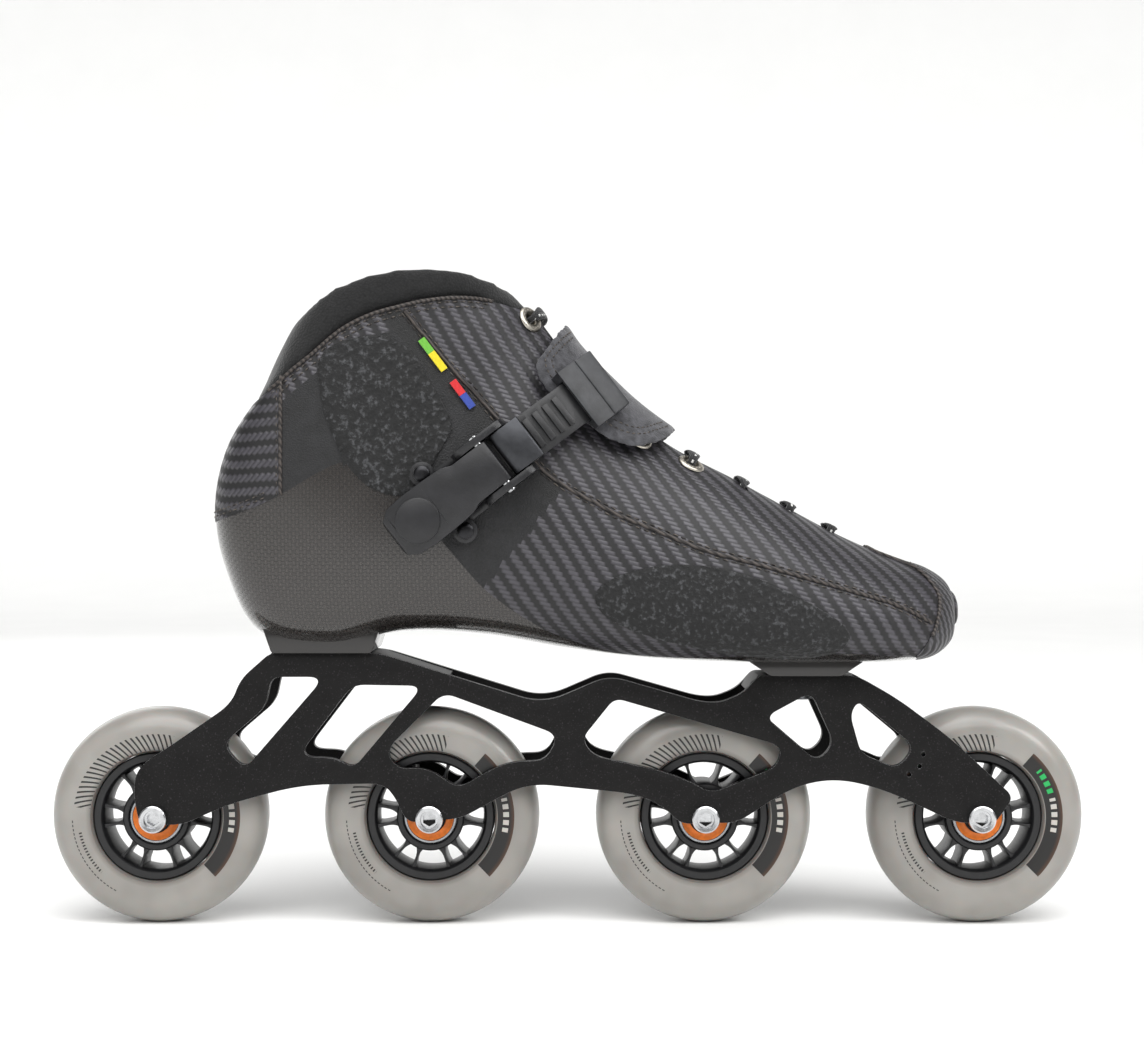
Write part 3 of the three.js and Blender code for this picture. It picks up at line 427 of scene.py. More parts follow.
@once
def sewing_thread(name, code, dark):
    """Bonded polyester thread and binding: twisted, slightly waxy."""
    material, tree, shader = new_material(name, IOR=1.5)
    place = surface_place(tree)
    twist = add_node(tree, "TexWave", {
        "Vector": place, "Scale": 1000 / 4.5, "Distortion": 3.0, "Detail": 2.0}, bands_direction="DIAGONAL")
    tint = add_node(tree, inputs={FACTOR: twist, FIRST: linear(dark), SECOND: linear(code)}, **MIX)
    roughness = add_node(tree, "MapRange", {"Value": twist, "To Min": 0.7, "To Max": 0.5})
    shade(tree, shader, tint, roughness, twist, 0.15)
    return material


@once
def lace_braid():
    """Flat polyester lace: black ribs along it, crossed by white flecks of the marker thread."""
    size = settings().fastening
    material, tree, shader = new_material("braided_lace", IOR=1.5, Sheen_Weight=0.2)
    place = surface_place(tree, "UV")
    x, z = (add_node(tree, "SeparateXYZ", {"Vector": place}, out=axis) for axis in ("X", "Y"))
    row, into = weave_steps(tree, z, 0.75)
    turn = add_node(tree, "Math", {0: into, 1: math.pi}, operation="MULTIPLY")
    rib = add_node(tree, "Math", {0: turn}, operation="SINE")
    tint = add_node(tree, inputs={FACTOR: rib, FIRST: linear("060607"), SECOND: size.lace}, **MIX)
    _, along = weave_steps(tree, x, 2.3)
    in_row = add_node(tree, "Math", {0: row, 1: 2.0, 2: 0.1}, operation="COMPARE")
    in_turn = add_node(tree, "Math", {0: along, 1: 0.42}, operation="LESS_THAN")
    fleck = add_node(tree, "Math", {0: in_row, 1: in_turn}, operation="MULTIPLY")
    tint = add_node(tree, inputs={FACTOR: fleck, FIRST: tint, SECOND: linear("d8d8d6")}, **MIX)
    roughness = add_node(tree, "MapRange", {"Value": rib, "To Min": 0.85, "To Max": 0.65})
    shade(tree, shader, tint, roughness, rib, 0.3)
    return material


@once
def suede():
    """Split suede, brushed: grey with a cloudy nap and fine pores."""
    size = settings().boot
    material, tree, shader = new_material("brushed_suede", IOR=1.45, Sheen_Weight=0.35, Sheen_Roughness=0.4)
    place = surface_place(tree)
    tint, _ = mottled(tree, place, 3.2, dimmed(size.pad, 0.35), size.pad, 0.3, 0.68)
    pores = add_node(tree, "TexNoise", {"Vector": place, "Scale": 1000 / 0.8, "Detail": 3.0})
    roughness = add_node(tree, "MapRange", {"Value": pores, "To Min": 0.8, "To Max": 0.98})
    shade(tree, shader, tint, roughness, pores, 0.35)
    return material


@once
def ribbon(name, code):
    """Woven satin ribbon: one bright colour with fine cross threads."""
    material, tree, shader = new_material(name, IOR=1.5, Sheen_Weight=0.2)
    place = surface_place(tree)
    threads = add_node(tree, "TexWave", {"Vector": place, "Scale": 1000 / 1.6, "Detail": 1.0})
    dark = dimmed(linear(code), 0.6)
    tint = add_node(tree, inputs={FACTOR: threads, FIRST: dark, SECOND: linear(code)}, **MIX)
    roughness = add_node(tree, "MapRange", {"Value": threads, "To Min": 0.6, "To Max": 0.45})
    shade(tree, shader, tint, roughness, threads, 0.05)
    return material


@once
def painted_floor():
    """Smooth painted studio sweep: pale and matt, with a barely visible roller texture."""
    material, tree, shader = new_material("painted_sweep", IOR=1.45)
    place = surface_place(tree)
    pale = settings().stage.floor
    tint, cloud = mottled(tree, place, 160, dimmed(pale, 0.985), pale)
    roughness = add_node(tree, "MapRange", {"Value": cloud, "To Min": 0.8, "To Max": 0.9})
    shade(tree, shader, tint, roughness)
    return material


# ---- Making pieces ----

def place_piece(name, mesh, materials, body, replaced=(), sharp=38.0):
    """Puts a finished mesh, in metres, on its body, in place of its CAD nodes."""
    for material in materials:
        mesh.materials.append(material)
    mesh.shade_smooth()
    mesh.set_sharp_from_angle(angle=math.radians(sharp))
    piece = bpy.data.objects.new(name, mesh)
    bpy.context.scene.collection.objects.link(piece)
    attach(piece, body)
    if replaced:
        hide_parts(*replaced)
    return piece


def made(name, bm, materials, body, replaced=(), sharp=38.0, scale=MM):
    """Turns a bmesh in mm into a piece."""
    bm.transform(Matrix.Scale(scale, 4))
    mesh = bpy.data.meshes.new(name)
    bm.to_mesh(mesh)
    bm.free()
    return place_piece(name, mesh, materials, body, replaced, sharp)


def joined(*parts):
    """Several closed bmeshes as one."""
    whole = bmesh.new()
    for part in parts:
        mesh = bpy.data.meshes.new("part")
        part.to_mesh(mesh)
        part.free()
        whole.from_mesh(mesh)
        bpy.data.meshes.remove(mesh)
    return whole


def turned(profile, sides, centre=(0.0, 0.0, 0.0)):
    """A body turned about the Y axis from [radius, y] in mm, with flat coordinates round its own axis."""
    bm = bmesh.new()
    corners = [bm.verts.new((radius, y, 0.0)) for radius, y in profile]
    edges = [bm.edges.new(pair) for pair in zip(corners, corners[1:])]
    bmesh.ops.spin(
        bm, geom=corners + edges, cent=(0, 0, 0), axis=(0, 1, 0), angle=2 * math.pi, steps=sides,
        use_merge=True, use_duplicate=False)
    bmesh.ops.remove_doubles(bm, verts=bm.verts, dist=1e-4)
    bmesh.ops.recalc_face_normals(bm, faces=bm.faces)
    flat = bm.loops.layers.uv.new("Flat")
    for face in bm.faces:
        for corner in face.loops:
            corner[flat].uv = (corner.vert.co.x * MM, corner.vert.co.z * MM)
    bmesh.ops.translate(bm, verts=bm.verts, vec=Vector(centre))
    return bm


def extruded(outline, from_y, to_y):
    """A side-view outline, with holes after the first loop, as a body between two Y planes."""
    bm = bmesh.new()
    for loop in outline:
        corners = [bm.verts.new((x, from_y, z)) for x, z in loop]
        for a, b in zip(corners, corners[1:] + corners[:1]):
            bm.edges.new((a, b))
    bmesh.ops.triangle_fill(bm, use_beauty=True, use_dissolve=False, edges=bm.edges[:])
    raised = bmesh.ops.extrude_face_region(bm, geom=bm.faces[:], use_keep_orig=True)
    far = [v for v in raised["geom"] if isinstance(v, bmesh.types.BMVert)]
    bmesh.ops.translate(bm, verts=far, vec=(0, to_y - from_y, 0))
    bmesh.ops.recalc_face_normals(bm, faces=bm.faces)
    return bm


def bevelled(bm, width, segments=2, angle=30.0, material=-1, choose=lambda edge: True):
    """Rounds the sharp edges."""
    least = math.radians(angle)
    sharp = [e for e in bm.edges if e.is_manifold and e.calc_face_angle(0) > least and choose(e)]
    bmesh.ops.bevel(
        bm, geom=sharp, offset=width, offset_type="OFFSET", affect="EDGES", segments=segments, profile=0.5,
        clamp_overlap=True, material=material)
    return bm


def convex(edge):
    """Whether an edge stands out, so that rounding it only takes material away."""
    return edge.is_convex


def from_node(node):
    """A merged copy of a CAD node, in mm, with its flat faces whole."""
    bm = bmesh.new()
    bm.from_mesh(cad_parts[node].data)
    bm.transform(Matrix.Scale(1 / MM, 4))
    bmesh.ops.remove_doubles(bm, verts=bm.verts, dist=1e-3)
    bmesh.ops.dissolve_limit(
        bm, angle_limit=math.radians(1.2), use_dissolve_boundaries=False, verts=bm.verts, edges=bm.edges)
    return bm


def rounded(corners, steps=8):
    """An outline from corners [x, z, run], each rounded from that far before it to that far past it."""
    line = []
    for i, (x, z, run) in enumerate(corners):
        corner = Vector((x, z))
        ends = []
        for other in (corners[i - 1], corners[(i + 1) % len(corners)]):
            way = Vector(other[:2]) - corner
            reach = min(run, 0.48 * way.length)
            ends.append(corner + way.normalized() * reach)
        if run == 0:
            line.append(tuple(corner))
            continue
        for k in range(steps + 1):
            t = k / steps
            line.append(tuple((1 - t) ** 2 * ends[0] + 2 * t * (1 - t) * corner + t * t * ends[1]))
    return line


def inside(line, x, z):
    """Whether places lie within a closed line of points."""
    found = np.zeros(np.shape(x), bool)
    for (x0, z0), (x1, z1) in zip(line, line[1:] + line[:1]):
        if z0 != z1:
            crosses = ((z0 > z) != (z1 > z)) & (x < (x1 - x0) * (z - z0) / (z1 - z0) + x0)
            found ^= crosses
    return found


def tubes(paths, radius, round_steps=2):
    """Round closed threads along several lists of points in mm."""
    curve = bpy.data.curves.new("thread", "CURVE")
    curve.dimensions = "3D"
    curve.bevel_depth = radius
    curve.bevel_resolution = round_steps
    curve.use_fill_caps = True
    for path in paths:
        spline = curve.splines.new("POLY")
        spline.points.add(len(path) - 1)
        for point, place in zip(spline.points, path):
            point.co = (*place, 1.0)
    thread = bpy.data.objects.new("thread", curve)
    bm = bmesh.new()
    mesh = bpy.data.meshes.new_from_object(thread)
    bm.from_mesh(mesh)
    bpy.data.meshes.remove(mesh)
    bpy.data.objects.remove(thread)
    bpy.data.curves.remove(curve)
    bmesh.ops.remove_doubles(bm, verts=bm.verts, dist=1e-4)
    bmesh.ops.recalc_face_normals(bm, faces=bm.faces)
    return bm


def finish_wall(piece, thickness, edge=0.45):
    """Gives a skin its wall, grown inwards, and rounds the wall's edges."""
    wall = piece.modifiers.new("wall", "SOLIDIFY")
    wall.thickness = thickness * MM
    wall.offset = -1.0
    wall.use_even_offset = False
    rim = piece.modifiers.new("rim", "BEVEL")
    rim.width = edge * MM
    rim.segments = 2
    rim.limit_method = "ANGLE"
    rim.angle_limit = math.radians(50)
    rim.harden_normals = True
    return piece


def padded_form(bm, voxel, most, pressure=4.0):
    """Fills a closed form as foam does: remeshed, blown up a little as cloth, capped, and smoothed."""
    bm.transform(Matrix.Scale(MM, 4))
    mesh = bpy.data.meshes.new("padding")
    bm.to_mesh(mesh)
    bm.free()
    form = bpy.data.objects.new("padding", mesh)
    bpy.context.scene.collection.objects.link(form)
    remesh = form.modifiers.new("remesh", "REMESH")
    remesh.mode = "VOXEL"
    remesh.voxel_size = voxel * MM
    relax = form.modifiers.new("relax", "SMOOTH")
    relax.iterations = 12
    relax.factor = 0.5
    form.data = evaluated(form)
    form.modifiers.clear()
    rest = np.array([v.co for v in form.data.vertices])
    cloth = form.modifiers.new("cloth", "CLOTH")
    cloth.settings.use_pressure = True
    cloth.settings.uniform_pressure_force = pressure
    cloth.settings.effector_weights.gravity = 0.0
    cloth.settings.quality = 5
    cloth.point_cache.frame_start = 1
    cloth.point_cache.frame_end = 20
    scene = bpy.context.scene
    for step in range(1, 21):
        scene.frame_set(step)
    blown = evaluated(form)
    moved = np.array([v.co for v in blown.vertices]) - rest
    form.modifiers.clear()
    scene.frame_set(1)
    reach = np.linalg.norm(moved, axis=1)[:, None]
    moved *= np.minimum(1.0, most * MM / np.maximum(reach, 1e-9))
    form.data.vertices.foreach_set("co", (rest + moved).astype(np.float32).ravel())
    smooth = form.modifiers.new("smooth", "SUBSURF")
    smooth.levels = 1
    smooth.render_levels = 1
    finished = evaluated(form)
    bpy.data.objects.remove(form)
    return finished


def evaluated(piece):
    """A piece's mesh with its modifiers applied."""
    bpy.context.view_layer.update()
    graph = bpy.context.evaluated_depsgraph_get()
    return bpy.data.meshes.new_from_object(piece.evaluated_get(graph))


def carved(bm, cutter):
    """A body in mm less a cutter in mm."""
    pair = []
    for part in (bm, cutter):
        mesh = bpy.data.meshes.new("carving")
        part.to_mesh(mesh)
        part.free()
        thing = bpy.data.objects.new("carving", mesh)
        bpy.context.scene.collection.objects.link(thing)
        pair.append(thing)
    cut = pair[0].modifiers.new("cut", "BOOLEAN")
    cut.operation = "DIFFERENCE"
    cut.solver = "EXACT"
    cut.object = pair[1]
    result = bmesh.new()
    result.from_mesh(evaluated(pair[0]))
    for thing in pair:
        bpy.data.objects.remove(thing)
    return result


# ---- Boot surface ----

# Cross-sections from the toe tip, along the foot, round the heel and up to the collar: top point,
# sole or heel point, half width, shift to the inner side, height of the widest place, forward bow.
SECTIONS = (
    (262.5, 25, 262.5, 10, 15, 9, 0.42, 0), (259, 30, 260, 3.6, 26, 8, 0.4, 0),
    (251, 35, 252, -2, 35.5, 6.5, 0.36, 0), (236, 39.6, 237, -3.9, 44, 5, 0.34, 0),
    (216, 48, 217, -4.1, 49.5, 3, 0.32, 0), (193, 60, 193, -4.1, 51, 1, 0.3, 0),
    (169, 73, 165, -3.8, 48, 0, 0.3, 0), (147, 84.5, 135, -2.4, 43.5, 0, 0.32, 0),
    (128, 98, 101, 1.6, 41, 0, 0.36, 0), (112, 113, 66, 7.4, 40.5, 0, 0.4, 0),
    (101, 124.5, 33, 8.6, 41, 0, 0.42, 0), (95.5, 132.5, 1, 2.6, 41.5, 0, 0.42, 0),
    (92, 137.5, -27, 8.6, 42, 0, 0.44, 1), (89.5, 141, -41, 34.6, 42.5, 0, 0.46, 2.5),
    (87, 144.1, -45, 58.6, 42.5, 0, 0.48, 5), (84, 146.4, -40, 82.6, 42, 0, 0.48, 8),
    (82, 148.2, -27, 102.6, 41, 0, 0.48, 10.5), (80.4, 149.4, -17.5, 121.6, 40.5, 0, 0.48, 12.5),
    (79, 150.6, -11, 133.6, 40, 0, 0.48, 13.5),
)
INSTEP_POWER = 2.15
SOLE_POWER = 3.1
TOE_DOME = 3.0
TOE_ROWS = 6
SURFACE_ROWS = 236
SURFACE_ROUND = 184

SHELL_SEAM = (
    (-90, 44), (-46, 53.5), (-26.5, 59.2), (-12.3, 65.7), (-1.3, 72.2), (9.6, 77.4), (18, 77.6),
    (26, 74.3), (34, 67.5), (45, 53.5), (57.3, 38.5), (67.1, 27.5), (78.1, 18.9), (93, 9.8), (110, 3.4),
    (124, 0), (140, -1.2), (243, -1.2), (252, -9), (300, -9),
)
COLLAR_SEAM = (
    (-60, 80), (-19.2, 106.4), (-8.6, 115.4), (-1.2, 121.2), (9.9, 130.6), (21, 136.5), (32.4, 140),
    (48.8, 143.7), (65.2, 144.5), (81.6, 141.4), (130, 129),
)
REAR_SEAM_X = -13.8
CAP_OUTLINE = (
    (225.9, 400, 0), (225.9, 42.4, 4), (246, 35, 5), (253.5, 24, 4), (250.5, 11, 4), (236, -12, 0),
    (236, -400, 0), (400, -400, 0), (400, 400, 0),
)
THROAT = (
    (70, -10, 6), (60, -10, 0), (60, 10, 0), (70, 10, 6), (120, 9, 10), (216, 4.5, 4), (221, 0, 4),
    (216, -4.5, 4), (120, -9, 10),
)
TONGUE = ((50, -24, 0), (50, 24, 0), (150, 22, 20), (212, 14, 8), (212, -14, 8), (150, -22, 20))
PAD = (
    (116, 160, 0), (94, 129, 5), (86.5, 117, 4), (90, 108, 5), (103, 97, 0), (116, 87, 4),
    (127, 82.5, 6), (143, 87, 5), (149, 96, 4), (149, 150, 0),
)
MAIN_SEAM = (
    (35.8, 138.6), (44.5, 127.7), (57.4, 112.5), (63.8, 106), (76.1, 91.3), (89.9, 76.1), (100.1, 68.2),
    (111, 62.3), (121.8, 56.5), (133, 51.9), (156.2, 42.5), (174.9, 37.5), (198.3, 30.9), (216.9, 25.5),
    (230.9, 21.3), (240.3, 17.3), (248.7, 12.9),
)
LACE_ROWS = (
    (0.715, 17, True), (0.568, 20, False), (0.432, 22, True), (0.375, 18, True), (0.323, 15.5, False),
    (0.278, 13.5, False), (0.236, 11, False),
)
EYELET_RADIUS = 5.8
EYELET_ROLL = 1.675                 # half the width of its rolled rim
LACE_HOLE = 2.4


def spline(points, along):
    """Points on a centripetal Catmull-Rom curve, even in the number of its points."""
    points = np.array(points, float)
    last = len(points) - 1
    place = np.clip(along, 0, 1) * last
    i = np.minimum(place.astype(int), last - 1)
    t = (place - i)[:, None]
    ends = np.vstack([2 * points[0] - points[1], points, 2 * points[-1] - points[-2]])
    p0, p1, p2, p3 = (ends[i + k] for k in range(4))
    d0, d1, d2 = (np.linalg.norm(b - a, axis=1)[:, None] ** 0.5 for a, b in ((p0, p1), (p1, p2), (p2, p3)))
    t1 = ((p1 - p0) / d0 - (p2 - p0) / (d0 + d1) + (p2 - p1) / d1) * d1
    t2 = ((p2 - p1) / d1 - (p3 - p1) / (d1 + d2) + (p3 - p2) / d2) * d1
    return p1 + t1 * t + (3 * (p2 - p1) - 2 * t1 - t2) * t ** 2 + (2 * (p1 - p2) + t1 + t2) * t ** 3


def boot_points(along, angle):
    """The boot's outside: along is 0 at the toe and 1 at the collar, the angle 0 on the instep line."""
    table = np.array(SECTIONS, float)
    zero = table[:, 5]
    ridge = spline(np.stack([table[:, 0], zero, table[:, 1]], 1), along)
    keel = spline(np.stack([table[:, 2], zero, table[:, 3]], 1), along)
    half, wide, bow = spline(table[:, [4, 6, 7]], along).T
    up = ridge - keel
    length = np.linalg.norm(up, axis=1)
    up /= length[:, None]
    lift, reach = np.cos(angle), np.abs(np.sin(angle))
    power = np.where(lift > 0, INSTEP_POWER, SOLE_POWER)
    grown = np.abs(lift) ** (2 / power)
    share = np.where(lift > 0, wide + (1 - wide) * grown, wide - wide * grown)
    points = keel + up * (share * length)[:, None]
    points[:, 1] -= np.sign(np.sin(angle)) * half * reach ** (2 / power)
    points[:, 0] -= up[:, 2] * bow * reach ** 2
    points[:, 2] += up[:, 0] * bow * reach ** 2
    return points + np.array(HEEL_MOUNT)


def surface_rows():
    """The boot's outside as rows of points from the toe's tip, which a low dome closes, to the collar."""
    angle = np.linspace(-math.pi, math.pi, SURFACE_ROUND + 1)
    rows = [boot_points(np.full(angle.shape, a), angle) for a in np.linspace(0, 1, SURFACE_ROWS + 1)]
    tip = rows[0]
    middle = tip.mean(0)
    for k in range(1, TOE_ROWS + 1):
        turn = k / TOE_ROWS * math.pi / 2
        ring = middle + (tip - middle) * math.cos(turn)
        ring[:, 0] = middle[0] + TOE_DOME * math.sin(turn)
        rows.insert(0, ring)
    return np.array(rows)


def unrolled(rows):
    """Side-view coordinates for each point of the rows, stretched so that cloth on them keeps its scale."""
    start = SURFACE_ROUND // 2
    half = rows[:, start:]
    steps = np.diff(half, axis=1)
    side = steps[:, :, [0, 2]]
    flat = np.linalg.norm(side, axis=2)
    flat[flat < 1e-6] = 1e-6
    side = side / flat[:, :, None] * np.linalg.norm(steps, axis=2)[:, :, None]
    run = np.concatenate([np.zeros((len(rows), 1, 2)), np.cumsum(side, axis=1)], axis=1)
    widest = np.abs(half[:, :, 1] - half[:, :1, 1]).argmax(1)
    each = np.arange(len(rows))
    run += (half[each, widest][:, [0, 2]] - run[each, widest])[:, None, :]
    return np.concatenate([run[:, :0:-1], run], axis=1)


BASE = {}


def base_surface():
    """The whole outside as a bmesh in mm, with its weave coordinates; it is made once."""
    if "bm" in BASE:
        return BASE["bm"]
    rows = surface_rows()
    flat = unrolled(rows)
    count = len(rows) - 1
    bm = bmesh.new()
    bmesh.ops.create_grid(bm, x_segments=count, y_segments=SURFACE_ROUND, size=1.0)
    weave = bm.loops.layers.uv.new("Weave")
    spot = {}
    for vert in bm.verts:
        i = round((vert.co.x + 1) / 2 * count)
        j = round((vert.co.y + 1) / 2 * SURFACE_ROUND)
        spot[vert] = (i, j)
        vert.co = rows[i, j]
    for face in bm.faces:
        for corner in face.loops:
            corner[weave].uv = flat[spot[corner.vert]] * MM
    bmesh.ops.remove_doubles(bm, verts=bm.verts, dist=0.02)
    bmesh.ops.recalc_face_normals(bm, faces=bm.faces)
    middle = Vector(rows[count // 3].mean(0))
    outward = sum((f.calc_center_median() - middle).dot(f.normal) > 0 for f in bm.faces)
    if outward < len(bm.faces) / 2:
        bmesh.ops.reverse_faces(bm, faces=bm.faces)
    bm.normal_update()
    BASE["bm"] = bm
    BASE["tree"] = BVHTree.FromBMesh(bm)
    return bm


def middles(bm):
    """The x, y and z of the faces' middles, as arrays."""
    return np.array([f.calc_center_median() for f in bm.faces]).reshape(-1, 3).T


def trim(bm, keep):
    """Keeps the faces whose middles pass the test."""
    kept = keep(*middles(bm))
    bmesh.ops.delete(bm, geom=[f for f, k in zip(bm.faces, kept) if not k], context="FACES")
    return bm


def skin(crop, offset=0.0):
    """A copy of the part of the outside that passes the test, moved off along its normals."""
    bm = base_surface().copy()
    bm.normal_update()
    if offset:
        for vert, place in [(v, v.co + v.normal * offset) for v in bm.verts]:
            vert.co = place
    return trim(bm, crop)


def off_line(line, across, up):
    """How far places lie from a line of points."""
    nearest = np.full(across.shape, 1e9)
    for (x0, z0), (x1, z1) in zip(line, line[1:]):
        way = np.array([x1 - x0, z1 - z0])
        share = ((across - x0) * way[0] + (up - z0) * way[1]) / max(way @ way, 1e-9)
        share = np.clip(share, 0, 1)
        gap = np.hypot(across - x0 - share * way[0], up - z0 - share * way[1])
        nearest = np.minimum(nearest, gap)
    return nearest


def cut(bm, line, axes=(0, 2), margin=4.0):
    """Cuts the faces near a line of points seen from the side, or from above."""
    across, up = axes
    places = middles(bm)
    close = off_line(line, places[across], places[up]) < 2 * margin
    region = [f for f, k in zip(bm.faces, close) if k]
    for (x0, z0), (x1, z1) in zip(line, line[1:]):
        low_x, high_x = min(x0, x1) - margin, max(x0, x1) + margin
        low_z, high_z = min(z0, z1) - margin, max(z0, z1) + margin
        near = []
        for face in region:
            place = face.verts[0].co
            if low_x < place[across] < high_x and low_z < place[up] < high_z:
                near.append(face)
        if not near:
            continue
        edges = {e for f in near for e in f.edges}
        verts = {v for f in near for v in f.verts}
        at, normal = Vector(), Vector()
        at[across], at[up] = x0, z0
        normal[across], normal[up] = z1 - z0, x0 - x1
        found = bmesh.ops.bisect_plane(
            bm, geom=near + list(edges) + list(verts), dist=1e-4, plane_co=at, plane_no=normal)
        known = set(region)
        region += [f for f in found["geom"] if isinstance(f, bmesh.types.BMFace) and f not in known]
        region = [f for f in region if f.is_valid]


def in_row(line):
    """Points given from the heel mount, moved to the row frame."""
    return [(p[0] + HEEL_MOUNT[0], p[1] + HEEL_MOUNT[2], *p[2:]) for p in line]


def in_plan(line):
    """The same for points seen from above."""
    return [(p[0] + HEEL_MOUNT[0], p[1], *p[2:]) for p in line]


def smooth_line(points, per=4):
    """A smooth line through points, with more points between them."""
    flat = np.array([(x, z, 0.0) for x, z in points])
    found = spline(flat, np.linspace(0, 1, per * (len(points) - 1) + 1))
    return [(float(x), float(z)) for x, z, _ in found]


def above(line, height=900.0):
    """The space over a line, as a closed outline."""
    return list(line) + [(line[-1][0], height), (line[0][0], height)]


SHELL_LINE = smooth_line(in_row(SHELL_SEAM), 3)
COLLAR_LINE = smooth_line(in_row(COLLAR_SEAM), 3)
CAP_LINE = rounded(in_row(CAP_OUTLINE), 4)
PAD_LINE = rounded(in_row(PAD), 5)
THROAT_LINE = rounded(in_plan(THROAT), 4)
TONGUE_LINE = rounded(in_plan(TONGUE), 5)
REAR_X = REAR_SEAM_X + HEEL_MOUNT[0]
MAIN_LINE = smooth_line(in_row(MAIN_SEAM), 4)
STRIP_WIDTH = 8.0
CROSSWISE = math.radians(-62)       # how far the rear panel's cloth is turned
CAP_SHEAR = 0.8                     # how far the cap's cloth runs on round the toe
COLLAR_BAND = [(x, z - 9.0) for x, z in COLLAR_LINE]
ANKLE_PANEL = [p for p in MAIN_LINE if p[1] > HEEL_MOUNT[2] + 68.0] + in_row(
    [(100.0, 68.0), (67.0, 27.0), (60.0, -30.0), (-80.0, -30.0), (-80.0, 160.0)])
OVER_BAND = above(COLLAR_BAND)
OVER_SHELL = above(SHELL_LINE)
OVER_COLLAR = above(COLLAR_LINE)
THROAT_FLOOR = HEEL_MOUNT[2] + 20.0


def in_throat(x, y, z):
    """Whether places lie in the lacing's gap, which is open from above."""
    return (z > THROAT_FLOOR) & inside(THROAT_LINE, x, y)


def on_side(x, z, side, lift=0.0):
    """The place on the boot that lies at (x, z) seen from the side, +1 being the outer side."""
    base_surface()
    start = Vector((x, -200.0 * side, z))
    place, normal, _, _ = BASE["tree"].ray_cast(start, Vector((0, side, 0)))
    return None if place is None else place + normal * lift


def along_surface(line, side, lift, spacing=1.5):
    """A side-view line laid on the boot, in even steps."""
    flat = [Vector(p) for p in line]
    marks = np.concatenate([[0], np.cumsum([(b - a).length for a, b in zip(flat, flat[1:])])])
    count = max(2, int(marks[-1] / spacing))
    xs = np.interp(np.linspace(0, marks[-1], count + 1), marks, [p.x for p in flat])
    zs = np.interp(np.linspace(0, marks[-1], count + 1), marks, [p.y for p in flat])
    found = [on_side(x, z, side, lift) for x, z in zip(xs, zs)]
    return [p for p in found if p is not None]


def beside(line, shift):
    """A line moved sideways in its own plane."""
    flat = [Vector(p) for p in line]
    moved = []
    for i, point in enumerate(flat):
        way = flat[min(i + 1, len(flat) - 1)] - flat[max(i - 1, 0)]
        moved.append(tuple(point + Vector((-way.y, way.x)).normalized() * shift))
    return moved


def stitches(path, pitch, tree, raised=0.35, sunk=0.3, filled=0.68):
    """Single stitches along a path: each dips into the piece at its ends."""
    marks = np.concatenate([[0], np.cumsum([(b - a).length for a, b in zip(path, path[1:])])])
    table = np.array([list(p) for p in path])
    found = []
    for k in range(int(marks[-1] / pitch)):
        spots = [(k + filled * share) * pitch for share in (0, 0.2, 0.5, 0.8, 1)]
        points = [Vector([np.interp(s, marks, table[:, axis]) for axis in range(3)]) for s in spots]
        thread = []
        for point, lift in zip(points, (-sunk, raised * 0.6, raised, raised * 0.6, -sunk)):
            _, normal, _, _ = tree.find_nearest(point)
            thread.append(point + normal * lift)
        found.append(thread)
    return found


# ---- Wheels ----

def tyre_profile():
    """The tyre's section: printed side faces that run into a round arch with a flat crown."""
    half, shoulder, flat = 12.0, 0.755 * AXLE_HEIGHT, math.asin(2 / 12)
    profile = [(26.8, -10.4), (27.6, -11.5)]
    for k in range(25):
        angle = -math.pi / 2 + math.pi * k / 24
        rise = min(1.0, max(0.0, math.cos(angle)) / math.cos(flat)) ** 0.8
        profile.append((shoulder + (AXLE_HEIGHT - shoulder) * rise, half * math.sin(angle)))
    return profile + [(27.6, 11.5), (26.8, 10.4), (26.8, -10.4)]


def hub_body():
    """Rim, bearing seat and six pairs of slim spokes that flare into them."""
    size = settings().wheel
    rim = turned([
        (22.6, -9.4), (23.4, -10.2), (25.9, -10.2), (26.5, -9.6), (26.5, 9.6), (25.9, 10.2), (23.4, 10.2),
        (22.6, 9.4), (22.2, 6.5), (21.7, 3), (21.7, -3), (22.2, -6.5), (22.6, -9.4)], size.sides)
    seat = turned([
        (11.3, -11.6), (11.7, -12), (13.4, -12), (14, -11.2), (14, 11.2), (13.4, 12), (11.7, 12),
        (11.3, 11.6), (11.3, 4.7), (9.7, 4.7), (9.7, -4.7), (11.3, -4.7), (11.3, -11.6)], 72)
    parts = [rim, seat]
    low, high = 13.2, 22.6
    for pair in range(6):
        for way in (-1, 1):
            spoke = bmesh.new()
            bmesh.ops.create_grid(spoke, x_segments=14, y_segments=1, size=1.0)
            for vert in spoke.verts:
                share = (vert.co.x + 1) / 2
                flare = 0.5 + 1.7 * max(0.0, 0.5 - share) ** 2 * 4 + 0.9 * max(0.0, share - 0.72) ** 2 * 8
                vert.co = (low + (high - low) * share, 0.0, vert.co.y * flare)
            raised = bmesh.ops.extrude_face_region(spoke, geom=spoke.faces[:], use_keep_orig=True)
            top = [v for v in raised["geom"] if isinstance(v, bmesh.types.BMVert)]
            bmesh.ops.translate(spoke, verts=spoke.verts, vec=(0, -8.5, 0))
            bmesh.ops.translate(spoke, verts=top, vec=(0, 17.0, 0))
            bmesh.ops.recalc_face_normals(spoke, faces=spoke.faces)
            bevelled(spoke, 0.25, 2, 60)
            angle = pair * math.pi / 3 + way * size.window_angle / 2
            bmesh.ops.rotate(spoke, verts=spoke.verts, cent=(0, 0, 0), matrix=Matrix.Rotation(angle, 3, "Y"))
            parts.append(spoke)
    return joined(*parts)


